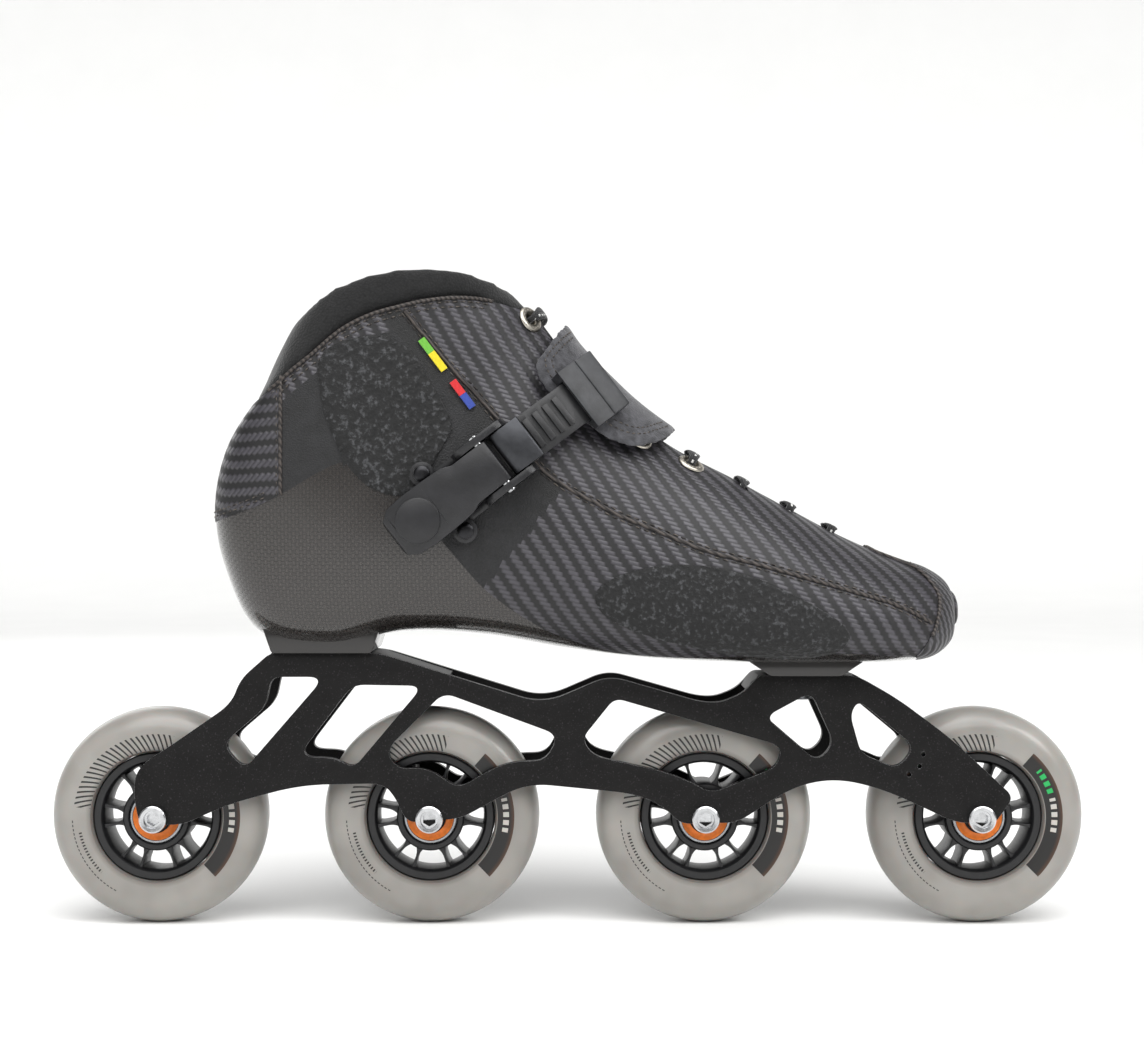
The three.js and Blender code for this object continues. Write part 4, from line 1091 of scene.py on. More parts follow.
class SKATE_OT_wheels(bpy.types.Operator):
    """Cast tyres with printed bands, on moulded hubs"""
    bl_idname = "skate.wheels"
    bl_label = "Tyres and hubs"

    def execute(self, context):
        size = settings().wheel
        for i in WHEELS:
            centre = Vector(((i - 1) * AXLE_PITCH, 0, AXLE_HEIGHT))
            tyre = turned(tyre_profile(), size.sides, centre)
            made(f"cast_tyre_{i}", tyre, [cast_polyurethane()], f"wheel_{i}", [f"tyre_{i}"])
            hub = hub_body()
            bmesh.ops.translate(hub, verts=hub.verts, vec=centre)
            nylon = moulded_nylon("moulded_hub_nylon", tuple(size.hub), 0.5, 0.38)
            made(f"moulded_hub_{i}", hub, [nylon], f"wheel_{i}", [f"hub_{i}"])
        return {"FINISHED"}


class SKATE_OT_bearings(bpy.types.Operator):
    """Ground races with orange seals, and the inner races and spacers between them"""
    bl_idname = "skate.bearings"
    bl_label = "Bearings"

    def execute(self, context):
        steel = turned_metal("ground_bearing_steel", "a9abae")
        for i in WHEELS:
            for name, side in SIDES:
                y = -side * 8.5
                centre = Vector(((i - 1) * AXLE_PITCH, y, AXLE_HEIGHT))
                face = -side
                race = turned([
                    (9.7, 2.6), (9.7, 3.3), (9.9, 3.5), (10.6, 3.5), (11, 3.1), (11, -3.1), (10.6, -3.5),
                    (9.7, -3.5), (9.4, -3.2), (9.4, 2.6), (9.7, 2.6)], 72)
                seal = turned([
                    (6.3, 2.7), (6.3, 3.1), (6.7, 3.2), (7.2, 2.95), (8.8, 2.95), (9.2, 3.2), (9.75, 3.2),
                    (9.75, 2.7), (6.3, 2.7)], 72)
                for part in (race, seal):
                    bmesh.ops.scale(part, verts=part.verts, vec=(1, face, 1))
                    if face < 0:
                        bmesh.ops.reverse_faces(part, faces=part.faces)
                    bmesh.ops.translate(part, verts=part.verts, vec=centre)
                made(f"sealed_race_{i}_{name}", race, [steel], f"wheel_{i}", [f"bearing_{i}_{name}_race"])
                made(f"bearing_seal_{i}_{name}", seal, [seal_rubber()], f"wheel_{i}")
                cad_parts[f"bearing_{i}_{name}_bore"].data.materials.clear()
                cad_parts[f"bearing_{i}_{name}_bore"].data.materials.append(steel)
            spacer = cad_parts[f"bearing_spacer_{i}"]
            spacer.data.materials.clear()
            spacer.data.materials.append(turned_metal("turned_spacer", "a5a7aa"))
        return {"FINISHED"}


def hexagonal(radius, from_y, to_y):
    """A six-sided bar along Y, for a key's socket."""
    bm = bmesh.new()
    bmesh.ops.create_cone(
        bm, cap_ends=True, segments=6, radius1=radius, radius2=radius, depth=to_y - from_y,
        matrix=Matrix.Translation((0, (from_y + to_y) / 2, 0)) @ Matrix.Rotation(math.pi / 2, 4, "X"))
    return bm


class SKATE_OT_axles(bpy.types.Operator):
    """Plated axle bolts with hexagon sockets, and the two mounting bolts under the boot"""
    bl_idname = "skate.axles"
    bl_label = "Axle and mounting bolts"

    def execute(self, context):
        plated = turned_metal("plated_axle_steel", "d2d3d5", 0.2)
        for i in WHEELS:
            bolt = turned([
                (0, -18.6), (3.5, -18.6), (3.7, -20.3), (5.0, -20.45), (5.55, -20.1), (5.65, -19.6),
                (5.65, -17.6), (3.75, -17.6), (3.75, 17.3), (3.3, 18), (0, 18)], 56)
            bolt = carved(bolt, hexagonal(2.9, -22, -16.2))
            bmesh.ops.translate(bolt, verts=bolt.verts, vec=((i - 1) * AXLE_PITCH, 0, AXLE_HEIGHT))
            made(f"plated_axle_{i}", bolt, [plated], "root", [f"axle_bolt_{i}"])
        steel = turned_metal("zinc_plated_bolt", "8d8f92", 0.32)
        for (x, _, deck), grip, name in ((HEEL_MOUNT, 4.7, "rear"), (TOE_MOUNT, 5.7, "front")):
            head = deck - 6.3
            bolt = turned([
                (0, head - 4.6), (4.9, head - 4.6), (5.5, head - 4), (5.5, head), (3, head),
                (3, deck + grip), (0, deck + grip)], 48)
            bolt = carved(bolt, hexagonal(2.6, head - 6, head - 2))
            bmesh.ops.rotate(
                bolt, verts=bolt.verts, cent=(0, 0, 0), matrix=Matrix.Rotation(math.pi / 2, 3, "X"))
            bmesh.ops.translate(bolt, verts=bolt.verts, vec=(x, 0, 0))
            made(f"mounting_bolt_{name}", bolt, [steel], "root", [f"{name}_mount_bolt"])
        return {"FINISHED"}


# ---- Chassis ----

PLATE_TOP = (
    (-165.5, 73.8, 8), (-138.5, 92.5, 7), (-134.8, 102.5, 5), (-122.5, 113.4, 3), (-78, 113.4, 5),
    (-10, 92.4, 10), (17, 104, 7), (60, 91.8, 10), (72, 96.5, 4), (79, 104, 2),
    (119.5, 104, 5), (136, 94.6, 8), (157.5, 78.6, 8), (184, 54, 4),
)
PLATE_UNDERSIDE = (
    (176, 43, 3), (160, 43.5, 5), (131, 57, 12), (111, 61.8, 14), (93, 58.4, 12), (70, 43.5, 5),
    (46.5, 43, 4), (40, 50, 6), (28, 55.4, 10), (-17, 59.8, 10), (-44, 45.2, 5),
    (-66, 43.5, 4), (-71, 54, 5), (-76, 59.6, 6), (-110, 59, 12), (-140, 51, 10), (-158, 42.8, 5),
    (-176, 42, 4), (-178.4, 52, 6), (-178.4, 63, 6), (-173.4, 69, 5),
)
PLATE_WINDOWS = (
    ((-122, 103.5, 4), (-100, 103.5, 7), (-133, 65.5, 5), (-142.5, 75.5, 6), (-124.5, 91, 5)),
    ((-88.5, 100.3, 5), (-59.5, 99.8, 6), (-88, 66, 4), (-96, 70, 4), (-111, 70.8, 7)),
    ((-51, 97, 5), (-3.5, 79.5, 6), (-9, 69, 5), (-26, 68.5, 10), (-45, 57.5, 5), (-58, 66.2, 6),
     (-70, 65.5, 5), (-75, 73, 6)),
    ((19.5, 94.8, 4), (88.5, 75, 6), (86.5, 66.5, 5), (59.5, 55.5, 5), (44, 63.5, 10), (10.5, 71, 6),
     (6, 78, 4)),
    ((100.5, 97.3, 5), (110, 76, 5), (103, 68.5, 5), (81.5, 87, 5)),
    ((120, 94, 5), (143.5, 74.5, 6), (136, 65.5, 5), (121, 72, 4), (116.5, 88, 4)),
)
PINHOLES = ((146.6, 71.7), (145.1, 66.7), (140.8, 63.3))
WHEELBASE_MIDDLE = 170.5
PLATE_INSIDE, PLATE_OUTSIDE = 13.3, 17.3
AXLE_HOLE = 4.05                    # radius
BOSS_RADIUS = 6.5
SLOT_RADIUS, SLOT_TRAVEL = 3.3, 4.7
REAR_DECK = (
    (-128, 105.5), (-122.5, 113.2), (-78, 113.2), (-49, 103.9), (-49, 99), (-79, 107.4), (-121, 107.4))
FRONT_DECK = ((74, 98), (76, 101), (79, 103.8), (119, 103.8), (129, 97), (129, 93), (119, 98))


def from_middle(corners):
    """Side-view corners given from the wheelbase's middle, moved to the row frame."""
    return [(c[0] + WHEELBASE_MIDDLE, *c[1:]) for c in corners]


def circle(x, z, radius, sides):
    """A round outline, seen from the side."""
    return [(x + radius * math.cos(2 * math.pi * k / sides), z + radius * math.sin(2 * math.pi * k / sides))
            for k in range(sides)]


def side_plate(side):
    """One plate with its windows, axle holes and pinholes, and bare chamfers round its outer face."""
    loops = [rounded(from_middle(PLATE_TOP + PLATE_UNDERSIDE))]
    loops += [rounded(from_middle(window)) for window in PLATE_WINDOWS]
    loops += [circle((i - 1) * AXLE_PITCH, AXLE_HEIGHT, AXLE_HOLE, 32) for i in WHEELS]
    loops += [circle(x + WHEELBASE_MIDDLE, z, 1.0, 16) for x, z in PINHOLES]
    near, far = (-PLATE_OUTSIDE, -PLATE_INSIDE) if side > 0 else (PLATE_INSIDE, PLATE_OUTSIDE)
    plate = extruded(loops, near, far)
    face_y = -PLATE_OUTSIDE if side > 0 else PLATE_OUTSIDE
    holes = [Vector(((i - 1) * AXLE_PITCH, AXLE_HEIGHT)) for i in WHEELS]

    def outer(edge):
        ends = [v.co for v in edge.verts]
        if any(abs(end.y - face_y) > 0.01 for end in ends):
            return False
        return all((Vector((ends[0].x, ends[0].z)) - hole).length > 5 for hole in holes)

    return bevelled(plate, settings().chassis.chamfer, 2, 60, 1, outer)


class SKATE_OT_chassis(bpy.types.Operator):
    """Two windowed plates joined by the mounting decks, anodised with bare milled edges"""
    bl_idname = "skate.chassis"
    bl_label = "Chassis"

    def execute(self, context):
        half = PLATE_INSIDE + 0.2
        rear, front = (extruded([from_middle(deck)], -half, half) for deck in (REAR_DECK, FRONT_DECK))
        slots = []
        for body, (x, _, z) in ((rear, HEEL_MOUNT), (front, TOE_MOUNT)):
            hole = bmesh.new()
            bmesh.ops.create_cone(
                hole, cap_ends=True, segments=32, radius1=SLOT_RADIUS, radius2=SLOT_RADIUS, depth=30,
                matrix=Matrix.Translation((x, 0, z)))
            for vert in hole.verts:
                if abs(vert.co.x - x) > 1e-4:
                    vert.co.x += math.copysign(SLOT_TRAVEL, vert.co.x - x)
            slots.append(carved(body, hole))
        parts = [side_plate(1), side_plate(-1), *slots]
        for i in WHEELS:
            for side in (-1, 1):
                near, far = sorted((side * 12.3, side * 13.6))
                ring = [(AXLE_HOLE, near), (BOSS_RADIUS, near), (BOSS_RADIUS, far), (AXLE_HOLE, far),
                        (AXLE_HOLE, near)]
                parts.append(turned(ring, 48, ((i - 1) * AXLE_PITCH, 0, AXLE_HEIGHT)))
        metals = [anodised_aluminium(), milled_aluminium()]
        made("anodised_chassis", joined(*parts), metals, "root", ["chassis"], sharp=30)
        return {"FINISHED"}


# ---- Boot ----

def thickened(bm, near, far):
    """A skin as a closed form between two depths under it, in mm."""
    bm.normal_update()
    inward = {tuple(round(c, 3) for c in v.co): v.normal.copy() for v in bm.verts}
    raised = bmesh.ops.extrude_face_region(bm, geom=bm.faces[:], use_keep_orig=True)
    lower = {v for v in raised["geom"] if isinstance(v, bmesh.types.BMVert)}
    for vert in bm.verts:
        normal = inward[tuple(round(c, 3) for c in vert.co)]
        vert.co = vert.co - normal * (far if vert in lower else near)
    bmesh.ops.recalc_face_normals(bm, faces=bm.faces)
    return bm


class LaceRow:
    """One row of lace holes: where it lies, and places on and over it."""

    def __init__(self, along, distance, metal):
        self.along, self.metal = along, metal
        self.hole = LACE_HOLE + 1.1 if metal else LACE_HOLE
        angles = np.radians(np.arange(0, 90, 0.5))
        points = boot_points(np.full(angles.shape, along), angles)
        travelled = np.concatenate([[0], np.cumsum(np.linalg.norm(np.diff(points, axis=0), axis=1))])
        self.angle = float(np.interp(distance, travelled, angles))

    def place(self, side, offset, share=1.0):
        return off_boot(self.along, side * self.angle * share, offset)


def off_boot(along, angle, offset):
    """A place off the boot's outside along its normal."""
    step = 0.01
    at = boot_points(
        np.array([along, along + step, along - step, along, along]),
        np.array([angle, angle, angle, angle + step, angle - step]))
    normal = Vector(np.cross(at[1] - at[2], at[3] - at[4])).normalized()
    return Vector(at[0]) + normal * offset


def lacing():
    """The rows of lace holes, from the collar to the toe."""
    if "rows" not in BASE:
        BASE["rows"] = [LaceRow(*row) for row in LACE_ROWS]
    return BASE["rows"]


def boot_piece(name, bm, materials, replaced=(), thickness=None, edge=0.45):
    """A skin of the boot with its wall. A full wall is lined: its inner faces take the last material."""
    lined = thickness is None
    slots = materials + [boot_lining()] if lined else materials
    piece = made(name, bm, slots, "root", replaced)
    finish_wall(piece, settings().boot.wall if lined else thickness, edge)
    piece.modifiers["wall"].material_offset = len(materials) if lined else 0
    return piece


def boot_lining():
    """The cloth inside the boot and round its collar."""
    return lining_cloth("brushed_collar_lining", tuple(settings().boot.lining), 0.9)


def twill():
    """The cloth of the upper and the toe cap."""
    size = settings().boot
    return twill_microfibre(
        "pressed_twill_microfibre", tuple(size.upper), linear("131214"), size.tow, size.rib)


class SKATE_OT_shell(bpy.types.Operator):
    """Carbon shell: heel cup, ankle wings and the plate under the forefoot, with its mounting blocks"""
    bl_idname = "skate.shell"
    bl_label = "Carbon shell"

    def execute(self, context):
        bm = skin(lambda x, y, z: z < 195)
        cut(bm, SHELL_LINE)
        trim(bm, lambda x, y, z: ~inside(OVER_SHELL, x, z))
        boot_piece("lacquered_shell", bm, [carbon_lacquer()], ["carbon_shell"], edge=0.6)
        blocks = []
        for middle, low, high, half_low, half_high in ((0, 0.1, 13, 20.5, 25), (199, -9.3, -3.0, 14.5, 24)):
            ridge = [(middle - half_low, low), (middle + half_low, low), (middle + half_high, high),
                     (middle - half_high, high)]
            block = extruded([rounded([(x, z, 1.2) for x, z in in_row(ridge)], 3)], -21, 21)
            bevelled(block, 1.2, 3, 60)
            blocks.append(block)
        made("mounting_blocks", joined(*blocks), [carbon_lacquer()], "root")
        return {"FINISHED"}


class SKATE_OT_upper(bpy.types.Operator):
    """Upper, rear panel and toe cap in pressed twill, with punched lace holes"""
    bl_idname = "skate.upper"
    bl_label = "Upper"

    def execute(self, context):
        bm = skin(lambda x, y, z: z > 105)
        cut(bm, SHELL_LINE)
        cut(bm, COLLAR_LINE)
        cut(bm, [(REAR_X, 100), (REAR_X, 300)])
        cut(bm, CAP_LINE[:-2])
        cut(bm, MAIN_LINE)
        cut(bm, beside(MAIN_LINE, -STRIP_WIDTH))
        cut(bm, COLLAR_BAND)
        cut(bm, THROAT_LINE + THROAT_LINE[:1], (0, 1))
        trim(bm, lambda x, y, z: (
            inside(OVER_SHELL, x, z) & ~inside(OVER_COLLAR, x, z) & (x > REAR_X)
            & ~inside(CAP_LINE, x, z) & ~in_throat(x, y, z)))
        for row in lacing():
            for side in (-1, 1):
                hole = row.place(side, 0)
                trim(bm, lambda x, y, z: np.hypot(np.hypot(x - hole.x, y - hole.y), z - hole.z) > row.hole)
        x, _, z = middles(bm)
        panel = inside(ANKLE_PANEL, x, z) & ~inside(OVER_BAND, x, z)
        strip = inside(ANKLE_PANEL, x, z) & (off_line(MAIN_LINE, x, z) < STRIP_WIDTH)
        for face, on_panel, on_strip in zip(bm.faces, panel, strip):
            face.material_index = 2 if on_strip else int(on_panel)
        boot_piece("twill_upper", bm, [
            twill(), lining_cloth("plain_microfibre", linear("1c1c1e"), 0.7, 0.62),
            lining_cloth("folded_strip", linear("0d0d0e"), 0.5, 0.55)], ["upper"])
        bm = skin(lambda x, y, z: (z > 105) & (x < REAR_X + 8), 0.35)
        cut(bm, SHELL_LINE)
        cut(bm, COLLAR_LINE)
        cut(bm, [(REAR_X, 100), (REAR_X, 300)])
        trim(bm, lambda x, y, z: (
            inside(OVER_SHELL, x, z) & ~inside(OVER_COLLAR, x, z) & (x < REAR_X)))
        size = settings().boot
        across = twill_microfibre(
            "pressed_twill_crosswise", tuple(size.upper), linear("100f11"), size.tow, size.rib, CROSSWISE)
        boot_piece("twill_rear_panel", bm, [across], ["rear_panel"])
        bm = skin(lambda x, y, z: x > 280, 0.3)
        cut(bm, SHELL_LINE)
        cut(bm, CAP_LINE[:-2])
        trim(bm, lambda x, y, z: inside(OVER_SHELL, x, z) & inside(CAP_LINE, x, z))
        weave = bm.loops.layers.uv["Weave"]
        for loop in (loop for face in bm.faces for loop in face.loops):
            x, y, z = loop.vert.co
            loop[weave].uv = ((x + CAP_SHEAR * y) * MM, (z + CAP_SHEAR * y) * MM)
        boot_piece("twill_toe_cap", bm, [twill()], ["toe_cap"])
        return {"FINISHED"}


class SKATE_OT_padding(bpy.types.Operator):
    """Soft pieces: collar, tongue, insole and the suede pad over the instep"""
    bl_idname = "skate.padding"
    bl_label = "Collar, tongue, insole and pad"

    def execute(self, context):
        lining = boot_lining()
        bm = skin(lambda x, y, z: z > 190)
        cut(bm, COLLAR_LINE)
        cut(bm, THROAT_LINE + THROAT_LINE[:1], (0, 1))
        trim(bm, lambda x, y, z: inside(OVER_COLLAR, x, z) & ~in_throat(x, y, z))
        collar = padded_form(thickened(bm, 0.2, 5.8), 2.2, 0.9)
        piece = place_piece("padded_collar", collar, [lining], "root", ["collar_padding"])
        bm = skin(lambda x, y, z: z > 130)
        cut(bm, TONGUE_LINE + TONGUE_LINE[:1], (0, 1))
        trim(bm, lambda x, y, z: inside(TONGUE_LINE, x, y) & (z > HEEL_MOUNT[2] + 30))
        tongue = padded_form(thickened(bm, 7.3, 10.6), 2.2, 0.8)
        spacer = lining_cloth("tongue_spacer_cloth", linear("17171a"), 1.4)
        piece = place_piece("padded_tongue", tongue, [spacer], "root", ["tongue"])
        bm = from_node("insole")
        insole = padded_form(bm, 2.6, 0.3)
        felt = lining_cloth("insole_felt", linear("3a3a3d"), 1.6, 0.9)
        piece = place_piece("felt_insole", insole, [felt], "root", ["insole"])
        bm = skin(lambda x, y, z: z > 185, 5.2)
        cut(bm, PAD_LINE)
        trim(bm, lambda x, y, z: inside(PAD_LINE, x, z))
        pad = padded_form(thickened(bm, -0.1, -1.85), 1.3, 0.15)
        piece = place_piece("suede_instep_pad", pad, [suede()], "root", ["instep_pad"])
        return {"FINISHED"}


PATCHES = (
    # forefoot, over the ball of the foot
    ((10, 140.5, 8), (26, 148.5, 12), (48, 151, 14), (72, 147, 12), (93, 137, 10), (110, 127, 9),
     (113.5, 120, 8), (106, 114.5, 9), (88, 112.5, 12), (58, 115.5, 14), (30, 122, 12), (13, 130, 8)),
    # over the ankle bone
    ((-100.5, 231, 5), (-94, 239, 5), (-74.5, 243.2, 6), (-62, 236, 5), (-45, 206, 5), (-54, 190, 8),
     (-64, 176, 8), (-84, 182, 14), (-97, 208, 12)),
)
RIBBON = (
    ("ribbon_green", "6fbf3a", (-58.5, 240.6), (-54.5, 235.3)),
    ("ribbon_yellow", "f2dc12", (-54.5, 235.3), (-49.2, 228.3)),
    ("ribbon_red", "e01f26", (-46.0, 224.0), (-42.0, 218.7)),
    ("ribbon_blue", "2745a8", (-42.0, 218.7), (-38.0, 213.4)),
)


class SKATE_OT_patches(bpy.types.Operator):
    """Rough scuff patches over the ball of the foot and the ankle"""
    bl_idname = "skate.patches"
    bl_label = "Scuff patches"

    def execute(self, context):
        for name, corners in zip(("forefoot", "ankle"), PATCHES):
            line = rounded([(x + WHEELBASE_MIDDLE, z, run) for x, z, run in corners], 6)
            low_x, high_x = min(p[0] for p in line), max(p[0] for p in line)
            for side_name, side in SIDES:
                bm = skin(lambda x, y, z: (y * side < 0) & (x > low_x - 5) & (x < high_x + 5), 0.1)
                cut(bm, line + line[:1])
                trim(bm, lambda x, y, z: inside(line, x, z))
                bmesh.ops.subdivide_edges(bm, edges=bm.edges[:], cuts=1, use_grid_fill=True)
                bm.normal_update()
                rim = {v for e in bm.edges if e.is_boundary for v in e.verts}
                for vert, normal in [(v, v.normal.copy()) for v in bm.verts]:
                    loops = 0.5 + 0.5 * noise.noise(vert.co * 0.62)
                    lift = 0.25 if vert in rim else 0.85 + 0.75 * (loops - 0.5)
                    vert.co += normal * lift
                boot_piece(f"scuff_patch_{name}_{side_name}", bm, [abrasion_patch()], (), 0.9, 0.2)
        return {"FINISHED"}


def on_pad(place):
    """Whether a stitch of the pad's hem is on the pad and clear of the strap and its keeper."""
    off = place - STRAP_ORIGIN
    across = off.z * math.cos(STRAP_LEAN) - off.x * math.sin(STRAP_LEAN)
    return bool(inside(PAD_LINE, np.array([place.x]), np.array([place.z]))[0]) and abs(across) > 14


def seam_lines():
    """Side-view lines of the stitched edges: main seam, rear panel, toe cap and forefoot shell."""
    main = smooth_line(in_row(MAIN_SEAM), 4)
    rear = [(REAR_X, z) for z in np.linspace(178, 226, 24)]
    cap = [p for p in CAP_LINE if 106 < p[1] < 158.5]
    low = [p for p in SHELL_LINE if 20 < p[0] < 55]
    return main, rear, cap, low


class SKATE_OT_seams(bpy.types.Operator):
    """Piping, stitches and the coloured ribbon along the seams"""
    bl_idname = "skate.seams"
    bl_label = "Seams and stitches"

    def execute(self, context):
        base_surface()
        tree = BASE["tree"]
        pitch = settings().boot.stitch
        main, rear, cap, low = seam_lines()
        collar = [p for p in COLLAR_LINE if 48 < p[0] < 140]
        cords, threads = [], []
        for _, side in SIDES:
            for line, lift, gaps in ((main, 0.35, (-1.5, 1.5)), (cap, 0.45, (1.7,)), (rear, 0.3, (1.6,)),
                                     (collar, 0.3, (-1.6, -3.6))):
                cords.append(along_surface(line, side, lift))
                for gap in gaps:
                    threads += stitches(along_surface(beside(line, gap), side, 0.0), pitch, tree)
            for line, gap in ((low, 1.8), (low, 3.6)):
                threads += stitches(along_surface(beside(line, gap), side, 0.3), pitch, tree)
            for gap in (2.0, 4.4):
                hem = along_surface(beside(PAD_LINE, gap), side, 7.05)
                threads += stitches([p for p in hem if on_pad(p)], 2.6, tree)
        cords = [c for c in cords if len(c) > 2]
        binding = sewing_thread("folded_binding", "4b4440", "1a1716")
        made("seam_binding", tubes(cords, 0.75, 3), [binding], "root")
        thread = sewing_thread("bonded_thread", "5a534c", "201c1a")
        made("seam_stitches", tubes(threads, 0.24, 1), [thread], "root")
        for name, code, start, end in RIBBON:
            flat = [Vector(start), Vector(end)]
            way = (flat[1] - flat[0]).normalized()
            out = Vector((-way.y, way.x)) * 1.5
            line = [(p.x + WHEELBASE_MIDDLE, p.y) for p in (
                flat[0] - out, flat[1] - out, flat[1] + out, flat[0] + out)]
            bm = skin(lambda x, y, z: (y < 0) & (x < 150) & (z > 190), 1.15)
            cut(bm, line + line[:1])
            trim(bm, lambda x, y, z: inside(line, x, z))
            boot_piece(name, bm, [ribbon(f"satin_{name}", code)], (), 0.9, 0.15)
        return {"FINISHED"}


def on_hole(bm, row, side):
    """Stands a body made along Y on a lace hole, its +Y end outwards."""
    centre = row.place(side, 0)
    outward = (row.place(side, 5) - centre).normalized()
    turn = Vector((0, 1, 0)).rotation_difference(outward).to_matrix().to_4x4()
    bmesh.ops.transform(bm, verts=bm.verts, matrix=Matrix.Translation(centre) @ turn)
    return bm


class SKATE_OT_lacing(bpy.types.Operator):
    """Metal eyelets, and the flat lace that runs through all rows"""
    bl_idname = "skate.lacing"
    bl_label = "Eyelets and lace"

    def execute(self, context):
        plated = turned_metal("nickelled_brass", "c9c3b8", 0.3)
        for i, row in enumerate([r for r in lacing() if r.metal], 1):
            for name, side in SIDES:
                profile = [(2.45, -2.6), (3.1, -2.6), (3.1, 0.15), (5.7, 0.15)]
                profile += [(EYELET_RADIUS + EYELET_ROLL * (math.cos(a) - 1), 0.15 + 1.05 * math.sin(a))
                            for a in np.linspace(0, math.pi, 9)]
                profile += [(2.45, 0.15), (2.45, -2.6)]
                eyelet = on_hole(turned(profile, 48), row, side)
                beads = []
                for k in range(14):
                    bead = bmesh.new()
                    bmesh.ops.create_icosphere(bead, subdivisions=1, radius=0.34)
                    turn = 2 * math.pi * k / 14
                    at = (4.15 * math.cos(turn), 1.15, 4.15 * math.sin(turn))
                    bmesh.ops.translate(bead, verts=bead.verts, vec=at)
                    beads.append(on_hole(bead, row, side))
                made(f"nickel_eyelet_{name}_{i}", joined(eyelet, *beads), [plated], "root",
                     [f"eyelet_{name}_{i}"])
        self.lace()
        return {"FINISHED"}

    def lace(self):
        """The lace crosses the throat at each row and runs up under the upper to the next."""
        width = settings().fastening.lace_width
        places, spans = [], []
        side = 1
        rows = lacing()[::-1]
        for i, row in enumerate(rows):
            high = 1.9 + (1.1 if row.metal else 0.0)
            for s, offset, share, w in (
                    (side, -4.8, 1, 0.62), (side, -1.5, 1, 0.56), (side, high - 0.4, 0.97, 0.62),
                    (side, high, 0.72, 0.95), (side, 1.6, 0.3, 1.0), (side, 1.2, 0, 1.0),
                    (-side, 1.6, 0.3, 1.0), (-side, high, 0.72, 0.95), (-side, high - 0.4, 0.97, 0.62),
                    (-side, -1.5, 1, 0.56), (-side, -4.8, 1, 0.62)):
                places.append(row.place(s, offset, share))
                spans.append(w)
            side = -side
            if i + 1 < len(rows):
                for share in (1 / 3, 2 / 3):
                    along = row.along + (rows[i + 1].along - row.along) * share
                    angle = row.angle + (rows[i + 1].angle - row.angle) * share
                    places.append(off_boot(along, side * angle, -4.8))
                    spans.append(0.7)
        fine = len(places) * 7
        even = np.linspace(0, 1, fine)
        path = spline([list(p) for p in places], even)
        share = np.interp(even, np.linspace(0, 1, len(spans)), spans)
        around = 12
        bm = bmesh.new()
        bmesh.ops.create_grid(bm, x_segments=fine - 1, y_segments=around, size=1.0)
        braid = bm.loops.layers.uv.new("Braid")
        run = np.concatenate([[0], np.cumsum(np.linalg.norm(np.diff(path, axis=0), axis=1))])
        base_surface()
        across = []
        for k in range(fine):
            way = Vector(path[min(k + 1, fine - 1)] - path[max(k - 1, 0)]).normalized()
            _, normal, _, _ = BASE["tree"].find_nearest(Vector(path[k]))
            sideways = way.cross(normal)
            if sideways.length < 0.35:
                sideways = across[-1][0] if across else Vector((1, 0, 0))
            sideways = (sideways - way * sideways.dot(way)).normalized()
            if across and sideways.dot(across[-1][0]) < 0:
                sideways = -sideways
            if across:
                sideways = (sideways * 0.45 + across[-1][0] * 0.55).normalized()
                sideways = (sideways - way * sideways.dot(way)).normalized()
            across.append((sideways, way.cross(sideways).normalized()))
        spot = {}
        for vert in bm.verts:
            k = round((vert.co.x + 1) / 2 * (fine - 1))
            turn = (vert.co.y + 1) * math.pi
            sideways, up = across[k]
            half = width / 2 * share[k]
            tall = 0.75 / max(0.55, share[k])
            spot[vert] = (run[k] * MM, (half * math.cos(turn) + half) * MM)
            flat = math.copysign(abs(math.cos(turn)) ** 0.75, math.cos(turn))
            vert.co = Vector(path[k]) + sideways * half * flat + up * tall * math.sin(turn)
        for face in bm.faces:
            for corner in face.loops:
                corner[braid].uv = spot[corner.vert]
        bmesh.ops.remove_doubles(bm, verts=bm.verts, dist=1e-3)
        ends = [e for e in bm.edges if e.is_boundary]
        bmesh.ops.holes_fill(bm, edges=ends, sides=0)
        bmesh.ops.recalc_face_normals(bm, faces=bm.faces)
        made("flat_lace", bm, [lace_braid()], "root", ["lace"], sharp=60)


# ---- Instep strap and buckle ----

STRAP_LEAN = math.radians(37.5)
STRAP_ORIGIN = Vector((140.9, -45.6, 190.2))


def on_strap():
    """From the strap's own frame, X along it to the instep and Z away from the boot, to the row frame."""
    along = Vector((math.cos(STRAP_LEAN), 0, math.sin(STRAP_LEAN)))
    across = Vector((-along.z, 0, along.x))
    turn = Matrix((along, across, Vector((0, -1, 0)))).transposed().to_4x4()
    return Matrix.Translation(STRAP_ORIGIN) @ turn


def laid(bm):
    """Moves a body from the strap's own frame to the row frame."""
    bmesh.ops.transform(bm, verts=bm.verts, matrix=on_strap())
    return bm


def pin(profile, sides=40):
    """A turned body whose axis stands off the boot, from [radius, height]."""
    bm = turned(profile, sides)
    bmesh.ops.rotate(bm, verts=bm.verts, cent=(0, 0, 0), matrix=Matrix.Rotation(math.pi / 2, 3, "X"))
    return bm


